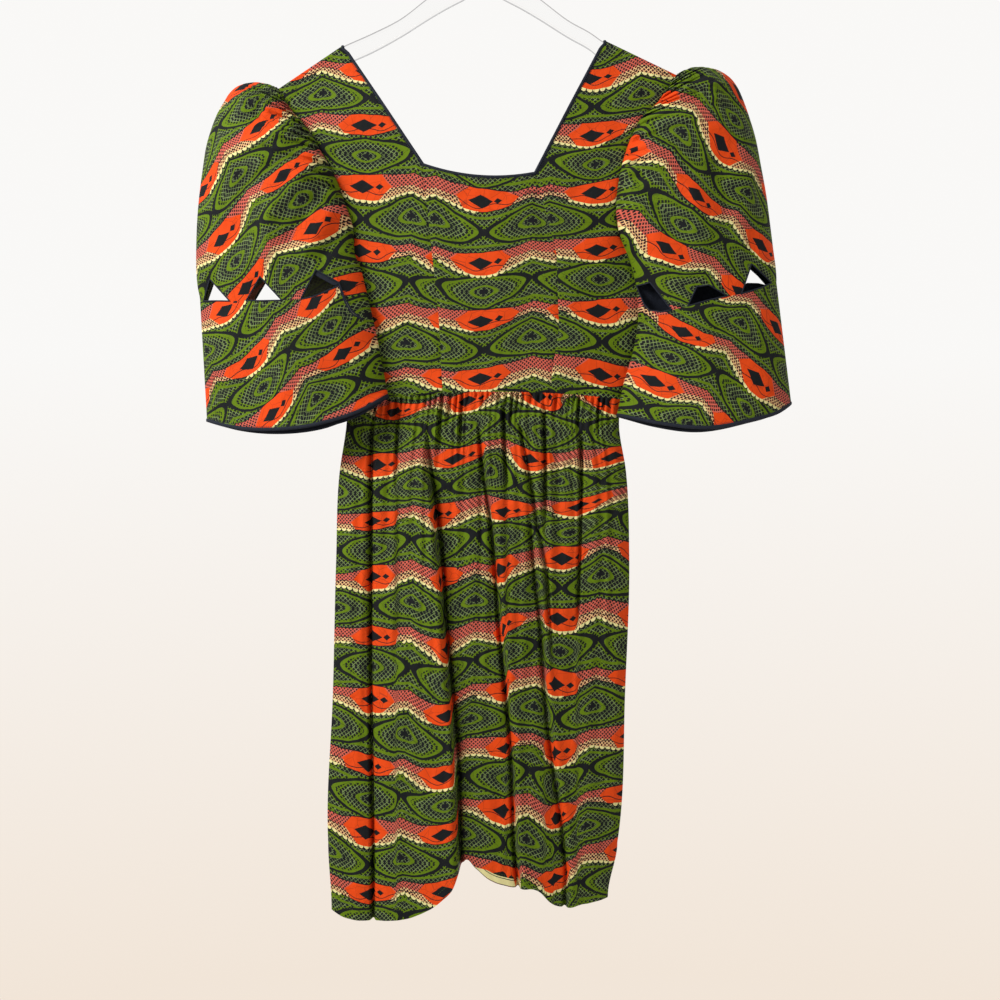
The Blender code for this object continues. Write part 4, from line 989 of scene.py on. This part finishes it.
# Bindings
# Narrow strips of the navy cotton, folded over the raw edges and sewn down: round the neck,
# round each cuff, and along the cut edges of the sleeve windows.
def run_along(path):
    return np.concatenate([[0], np.cumsum(np.linalg.norm(np.diff(path, axis=0), axis=1))])


Strip = namedtuple("Strip", "width thickness set_in")
NECK_STRIP, CUFF_STRIP = Strip(3.4, 1.9, 0.8), Strip(4.2, 2.0, 0.5)
WINDOW_STRIP, FACING_STRIP = Strip(1.7, 1.3, 0.7), Strip(6.5, 0.9, 0.6)
STITCH_INSET = 1.6              # the stitches run this far inside the cloth's edge
CURL_OUT, CURL_IN = 192.5, 163.0
OPEN_GAP = 0.01                 # a window is where point and cuff are further apart than this


def edging(name, path, inward, strip, closed=False, finish=NAVY, slot="navy_binding",
           replaced=None):
    """A folded strip along an edge. The path and inward directions are arrays in
    millimetres as x, y, z; inward points from the cloth's edge out into the opening."""
    width, thickness, set_in = strip
    path, inward = np.asarray(path, float), np.asarray(inward, float)
    if closed:
        ahead, behind = np.roll(path, -1, axis=0), np.roll(path, 1, axis=0)
    else:
        ahead = np.vstack([path[1:], path[-1:]])
        behind = np.vstack([path[:1], path[:-1]])
    tangent = ahead - behind
    tangent /= np.maximum(np.linalg.norm(tangent, axis=1, keepdims=True), 1e-9)
    inward = inward - (inward * tangent).sum(1, keepdims=True) * tangent
    inward /= np.maximum(np.linalg.norm(inward, axis=1, keepdims=True), 1e-9)
    outward = np.cross(tangent, inward)
    around = np.linspace(0, 2 * math.pi, 13)[:-1]
    centre = path + inward * (width / 2 - set_in)
    rings = (centre[:, None] + inward[:, None] * (np.cos(around) * width / 2)[None, :, None]
             + outward[:, None] * (np.sin(around) * thickness / 2)[None, :, None])
    count, sides = len(path), len(around)
    points = rings.reshape(-1, 3) * MM
    faces = []
    for k in range(count if closed else count - 1):
        m = (k + 1) % count
        for s in range(sides):
            t = (s + 1) % sides
            faces.append((k * sides + s, m * sides + s, m * sides + t, k * sides + t))
    if not closed:
        faces += [tuple(range(sides)), tuple(range((count - 1) * sides, count * sides))[::-1]]
    mesh = bpy.data.meshes.new(name)
    mesh.from_pydata(points.tolist(), [], faces)
    mesh.materials.append(finish)
    bm = bmesh.new()
    bm.from_mesh(mesh)
    bmesh.ops.recalc_face_normals(bm, faces=bm.faces)
    run = run_along(path)
    layer = bm.loops.layers.uv.new(CLOTH_MAP)
    for face in bm.faces:
        for loop in face.loops:
            ring, spot = divmod(loop.vert.index, sides)
            loop[layer].uv = (run[ring] * MM, spot * width / sides * MM)
    bm.to_mesh(mesh)
    bm.free()
    return made(name, mesh, slot, replaced)


def neck_line(face):
    """The neckline from the left neck point, down and along to the right one, and the way
    into the opening at each place."""
    left, centre, right, row = bodice_layout(face)
    x = np.concatenate([left[0][:row, -1], centre[0][row], right[0][:row, 0][::-1]])
    drop = np.concatenate([left[1][:row, -1], centre[1][row], right[1][:row, 0][::-1]])
    y = body_y(x, drop, face)
    path = np.stack([x, y, -drop], axis=1)
    tangent = np.gradient(path, axis=0)
    inward = np.stack([-tangent[:, 2], np.zeros(len(x)), tangent[:, 0]], axis=1)
    return path, inward


def even_steps(path, inward, step):
    run = run_along(path)
    at = np.linspace(0, run[-1], int(run[-1] / step))
    take = lambda values: np.stack([np.interp(at, run, column) for column in values.T], axis=1)
    return take(path), take(inward)


stitch_lines = []
for face in ("front", "back"):
    path, inward = even_steps(*neck_line(face), 2.0)
    edging("neck_edge_" + face, path, inward, NECK_STRIP, replaced="neck_binding_" + face)
    sign = -1 if face == "front" else 1
    length = np.linalg.norm(inward, axis=1, keepdims=True)
    stitch_lines.append(path[8:-8] - inward[8:-8] / length[8:-8] * STITCH_INSET
                        + np.array([0, sign * 0.15, 0]))

for side, label in ((-1, "left"), (1, "right")):
    hems = []
    for face in ("front", "back"):
        x, y, drop = cuff_places(side, face)
        hems.append(np.stack([x[-1], y[-1], -drop[-1]], axis=1))
    loop = np.vstack([hems[0], hems[1][::-1][1:-1]])
    down = np.tile(np.array([0.0, 0.0, -1.0]), (len(loop), 1))
    edging(f"cuff_edge_{label}", loop, down, CUFF_STRIP, closed=True,
           replaced=f"cuff_binding_{label}")
    stitch_lines.append(hems[0][6:-6] + np.array([0, -0.2, STITCH_INSET]))

    # Edges of the windows: the points above, and the cuff's top below
    for face in ("front", "back"):
        u, out, sleeve_edge, cuff_edge = join_columns(side, face)
        x, y, drop = sleeve_places(side, face)
        above = np.stack([x[-1], y[-1], -drop[-1]], axis=1)
        x, y, drop = cuff_places(side, face)
        beneath = np.stack([x[0], y[0], -drop[0]], axis=1)
        gap = cuff_edge - sleeve_edge > OPEN_GAP
        starts = [k for k in range(1, len(gap)) if gap[k] and not gap[k - 1]]
        for number, start in enumerate(starts):
            end = start
            while end < len(gap) and gap[end]:
                end += 1
            for part, line, way in (("point", above, -1.0), ("base", beneath, 1.0)):
                run = line[max(start - 1, 0):min(end + 1, len(gap))]
                into = np.tile(np.array([0.0, 0.0, way]), (len(run), 1))
                edging(f"window_{label}_{face}_{number + 1}_{part}", run, into, WINDOW_STRIP)
    if side < 0:
        # The innermost point curls forward, and shows a strip of its facing
        u, out, sleeve_edge, cuff_edge = join_columns(side, "front")
        x, y, drop = sleeve_places(side, "front")
        curl = (out < CURL_OUT) & (out > CURL_IN)
        run = np.stack([x[-1], y[-1] + 1.2, -drop[-1]], axis=1)[curl]
        into = np.tile(np.array([-0.5, 0.0, -1.0]), (len(run), 1))
        edging("window_left_front_facing", run, into, FACING_STRIP)

# Sewing thread
# Lockstitches, 2.6 mm apart, in dark thread beside the bindings and in green along the hem.
def stitch_tree(name, thread):
    """A row of stitches on a curve: every so far a short round stitch, laid along it."""
    tree = bpy.data.node_groups.new(name, "GeometryNodeTree")
    for socket, kind, default in (("Line", "NodeSocketGeometry", None),
                                  ("Spacing", "NodeSocketFloat", 0.0026),
                                  ("Length", "NodeSocketFloat", 0.0020),
                                  ("Thickness", "NodeSocketFloat", 0.00045)):
        made = tree.interface.new_socket(socket, in_out="INPUT", socket_type=kind)
        if default is not None:
            made.default_value = default
    tree.interface.new_socket("Stitches", in_out="OUTPUT", socket_type="NodeSocketGeometry")
    add = tree.nodes.new
    start, end = add("NodeGroupInput"), add("NodeGroupOutput")
    curve, resample = add("GeometryNodeMeshToCurve"), add("GeometryNodeResampleCurve")
    resample.mode = "LENGTH"
    spots, stitch = add("GeometryNodeInstanceOnPoints"), add("GeometryNodeMeshUVSphere")
    for socket, value in (("Segments", 6), ("Rings", 4), ("Radius", 0.5)):
        stitch.inputs[socket].default_value = value
    turn, tangent = add("FunctionNodeAlignRotationToVector"), add("GeometryNodeInputTangent")
    turn.axis = "Z"
    scale, whole = add("ShaderNodeCombineXYZ"), add("GeometryNodeRealizeInstances")
    colour, flat = add("GeometryNodeSetMaterial"), add("GeometryNodeSetShadeSmooth")
    colour.inputs["Material"].default_value = thread
    for source, output, target, socket in (
            (start, "Line", curve, "Mesh"), (curve, "Curve", resample, "Curve"),
            (start, "Spacing", resample, "Length"), (resample, "Curve", spots, "Points"),
            (stitch, "Mesh", spots, "Instance"), (tangent, "Tangent", turn, "Vector"),
            (turn, "Rotation", spots, "Rotation"), (start, "Thickness", scale, "X"),
            (start, "Thickness", scale, "Y"), (start, "Length", scale, "Z"),
            (scale, "Vector", spots, "Scale"), (spots, "Instances", whole, "Geometry"),
            (whole, "Geometry", flat, "Geometry"), (flat, "Geometry", colour, "Geometry"),
            (colour, "Geometry", end, "Stitches")):
        tree.links.new(source.outputs[output], target.inputs[socket])
    return tree


def sew(name, lines, thread, spacing):
    """Stitches along one or more lines of points, in millimetres."""
    bm = bmesh.new()
    for line in lines:
        spots = [bm.verts.new(tuple(point * MM)) for point in line]
        for near, far in zip(spots, spots[1:]):
            bm.edges.new((near, far))
    mesh = bpy.data.meshes.new(name + "_line")
    bm.to_mesh(mesh)
    bm.free()
    guide = bpy.data.objects.new(name + "_line", mesh)
    bpy.context.scene.collection.objects.link(guide)
    tree = stitch_tree(name + "_stitches", thread)
    row = guide.modifiers.new("stitches", "NODES")
    row.node_group = tree
    for item in tree.interface.items_tree:
        if item.item_type == "SOCKET" and item.name == "Spacing" and item.in_out == "INPUT":
            row[item.identifier] = spacing
    evaluated = guide.evaluated_get(bpy.context.evaluated_depsgraph_get())
    stitches = bpy.data.meshes.new_from_object(evaluated)
    stitches.name = name
    bpy.data.objects.remove(guide, do_unlink=True)
    made(name, stitches, "navy_binding")


def thread_finish(name, light, dark):
    thread = Finish(name, on_cloth=False, Roughness=0.55)
    twist = thread.noise(900.0, 1.0)
    thread.set(Base_Color=thread.dye(dark, light, twist), Normal=thread.bump(twist, 0.0002, 0.6))
    return thread.material


sew("dark_stitches", stitch_lines,
    thread_finish("dark thread", (0.03, 0.035, 0.055), (0.008, 0.01, 0.018)), 0.0026)

HEM_TURN = 12.0
hem_lines = []
for face, (x, drop, y) in skirt_lines.items():
    height = drop[-1] - HEM_TURN
    at_x, at_y = (np.array([np.interp(height[k], drop[:, k], values[:, k])
                            for k in range(len(height))]) for values in (x, y))
    at_y = at_y + (-0.15 if face == "front" else 0.15)
    hem_lines.append(np.stack([at_x, at_y, -height], axis=1)[6:-6])
sew("hem_stitches", hem_lines,
    thread_finish("green thread", (0.06, 0.10, 0.012), (0.03, 0.05, 0.008)), 0.0030)

# Hanger
# Moulded in one from clear plastic: two arms with a thin web between thicker rims, and a
# bright steel wire hook set into the middle. Only the inner ends of the arms show.
Plate = namedtuple("Plate", "out top bottom")
PLATES = {
    -1: named_rows(Plate,
        (0, 74, 97), (12, 74, 104), (24, 81, 111), (45, 94, 122), (67, 109, 135), (97, 132, 154),
        (130, 149, 172)),
    1: named_rows(Plate,
        (0, 74, 97), (12, 74, 104), (24, 81, 111), (45, 94, 122), (67, 110, 135), (97, 133, 154),
        (122, 147, 168)),
}
PLATE_DEPTH, PLATE_SEAT, PLATE_END_GAP = 23.0, 2.0, 17.0
PLATE_HALF, WEB_HALF, RIM = 2.0, 0.8, 3.2

halves = {}
for side in (-1, 1):
    line = SHOULDERS[side]
    stations = [(side * plate.out, plate.top, plate.bottom) for plate in PLATES[side]]
    for out in np.linspace(line.neck_out - 4, line.tip_out - PLATE_END_GAP, 8):
        top = float(shoulder_drop(side * out)) + PLATE_SEAT
        stations.append((side * out, top, top + PLATE_DEPTH))
    x, top, bottom = stations[-1]
    stations += [(x + side * 4, top + 4, bottom - 1.5), (x + side * 6, top + 10, bottom - 5)]
    halves[side] = stations
stations = np.array(halves[-1][:0:-1] + halves[1])
keys = np.arange(len(stations))
at = np.linspace(0, len(stations) - 1, (len(stations) - 1) * 6 + 1)
x, top, bottom = (curve_through(keys, column, at) for column in stations.T)
middle = np.interp(at, keys, np.abs(stations[:, 0])) < 14
lip = ((0, 0.7), (0.35, 1.5), (0.9, PLATE_HALF), (1.0, 1.7), (1.15, WEB_HALF))
profile = [("top", share * RIM, half) for share, half in lip]
profile += [("bottom", share * RIM, half) for share, half in lip[::-1]]
bm = bmesh.new()
rings = []
for k in range(len(x)):
    ring = []
    for way, order in ((-1, profile), (1, profile[::-1])):
        for edge, inset, half in order:
            drop = top[k] + inset if edge == "top" else bottom[k] - inset
            half = PLATE_HALF * 0.95 if middle[k] and half < 1.6 and inset > 0 else half
            ring.append(bm.verts.new((x[k] * MM, way * half * MM, -drop * MM)))
    rings.append(ring)
for near, far in zip(rings, rings[1:]):
    for k in range(len(near)):
        m = (k + 1) % len(near)
        strip = bm.faces.new((near[k], near[m], far[m], far[k]))
        # Faces round the top and bottom edges of the rims take the second finish, a darker grey:
        # painted shade for how dark the clear plastic's rounded edges look
        strip.material_index = 1 if k % 10 in (0, 8, 9) else 0
bm.faces.new(rings[0])
bm.faces.new(rings[-1])
bmesh.ops.recalc_face_normals(bm, faces=bm.faces)
mesh = bpy.data.meshes.new("hanger_arms")
bm.to_mesh(mesh)
bm.free()
# The second finish is the same clear plastic tinted grey: painted shade on the rims, not a colour
# of the plastic
for name, tint in (("clear plastic", (0.985, 0.985, 0.985)),
                   ("clear plastic edge", (0.42, 0.42, 0.43))):
    clear = Finish(name, on_cloth=False, Base_Color=tint, Transmission_Weight=1.0, IOR=1.12)
    haze = clear.noise(60.0, 3.0)
    clear.set(Roughness=haze * 0.05, Normal=clear.bump(haze, 0.0006, 0.2))
    mesh.materials.append(clear.material)
made("hanger_arms", mesh, "clear_plastic", "hanger_plate", crease_angle=55)

HOOK_WIRE, HOOK_RADIUS, HANGER_TOP = 3.4, 19.0, 74.0
reach = HOOK_RADIUS + HOOK_WIRE / 2
path = [(0, HANGER_TOP - 0.3), (0, 68), (0, 62), (0, 56), (0, 50), (1, 46.5), (3, 43),
        (5.7, 40.2), (9, 38)]
for k in range(89):
    angle = math.radians(-42 + 250 * k / 88)
    path.append((reach * math.cos(angle), HOOK_RADIUS - reach * math.sin(angle)))
path = np.array([(across, 0.0, -drop) for across, drop in path])
inward = np.tile(np.array([0.0, 1.0, 0.0]), (len(path), 1))
steel = Finish("bright steel", on_cloth=False, Base_Color=(0.66, 0.66, 0.67), Metallic=1.0)
drawn = steel.noise(400.0, 3.0)
steel.set(Roughness=drawn * 0.2 + 0.12, Normal=steel.bump(drawn, 0.0002, 0.25))
edging("hook_wire", path, inward, Strip(HOOK_WIRE, HOOK_WIRE, HOOK_WIRE / 2),
       finish=steel.material, slot="hook_steel", replaced="hanger_hook")

# The room
# A plain pale floor far below the hem, and soft light from the upper left of the picture.
FLOOR_HALF, FLOOR_Z = 1.4, -1.95
floor_mesh = bpy.data.meshes.new("floor")
floor_mesh.from_pydata([(x * FLOOR_HALF, y * FLOOR_HALF, FLOOR_Z)
                        for x, y in ((-1, -1), (1, -1), (1, 1), (-1, 1))], [], [(0, 1, 2, 3)])
floor = bpy.data.objects.new("floor", floor_mesh)
bpy.context.scene.collection.objects.link(floor)
paint = Finish("pale floor", on_cloth=False, Base_Color=(0.80, 0.77, 0.73), Roughness=0.9)
floor_mesh.materials.append(paint.material)

# The air is warmer low down, and brighter behind the dress than in front of it
world = bpy.data.worlds.new("studio")
world.use_nodes = True
tree = world.node_tree
air, wall = tree.nodes["Background"], tree.nodes.new("ShaderNodeMix")
wall.data_type = "RGBA"
parts = tree.nodes.new("ShaderNodeSeparateXYZ")
fill(tree, parts.inputs[0], tree.nodes.new("ShaderNodeTexCoord").outputs["Generated"])
fill(tree, wall.inputs["A"], (0.90, 0.80, 0.70))
fill(tree, wall.inputs["B"], (0.97, 0.96, 0.945))
for axis, target, limits in (("Y", air.inputs["Strength"], (-0.9, 0.7, 0.50, 0.98)),
                             ("Z", wall.inputs["Factor"], (-0.32, 0.10, 0.0, 1.0))):
    shade = tree.nodes.new("ShaderNodeMapRange")
    fill(tree, shade.inputs["Value"], parts.outputs[axis])
    for socket, value in zip(("From Min", "From Max", "To Min", "To Max"), limits):
        fill(tree, shade.inputs[socket], value)
    fill(tree, target, shade.outputs["Result"])
fill(tree, air.inputs["Color"], wall.outputs["Result"])
bpy.context.scene.world = world
bpy.context.scene.view_settings.view_transform = "Standard"

for label, place, size, power in (("window", (-1.5, -1.2, 0.45), 0.8, 52.0),
                                  ("fill", (1.8, -1.7, -0.4), 1.4, 5.0),
                                  ("back_light", (0.9, 2.0, -1.35), 1.2, 14.0)):
    lamp_data = bpy.data.lights.new(label, "AREA")
    lamp_data.shape = "SQUARE"
    lamp_data.size = size
    lamp_data.energy = power
    lamp = bpy.data.objects.new(label, lamp_data)
    lamp.location = place
    aim = Vector((0, 0, -0.7)) - Vector(place)
    lamp.rotation_euler = aim.to_track_quat("-Z", "Y").to_euler()
    bpy.context.scene.collection.objects.link(lamp)
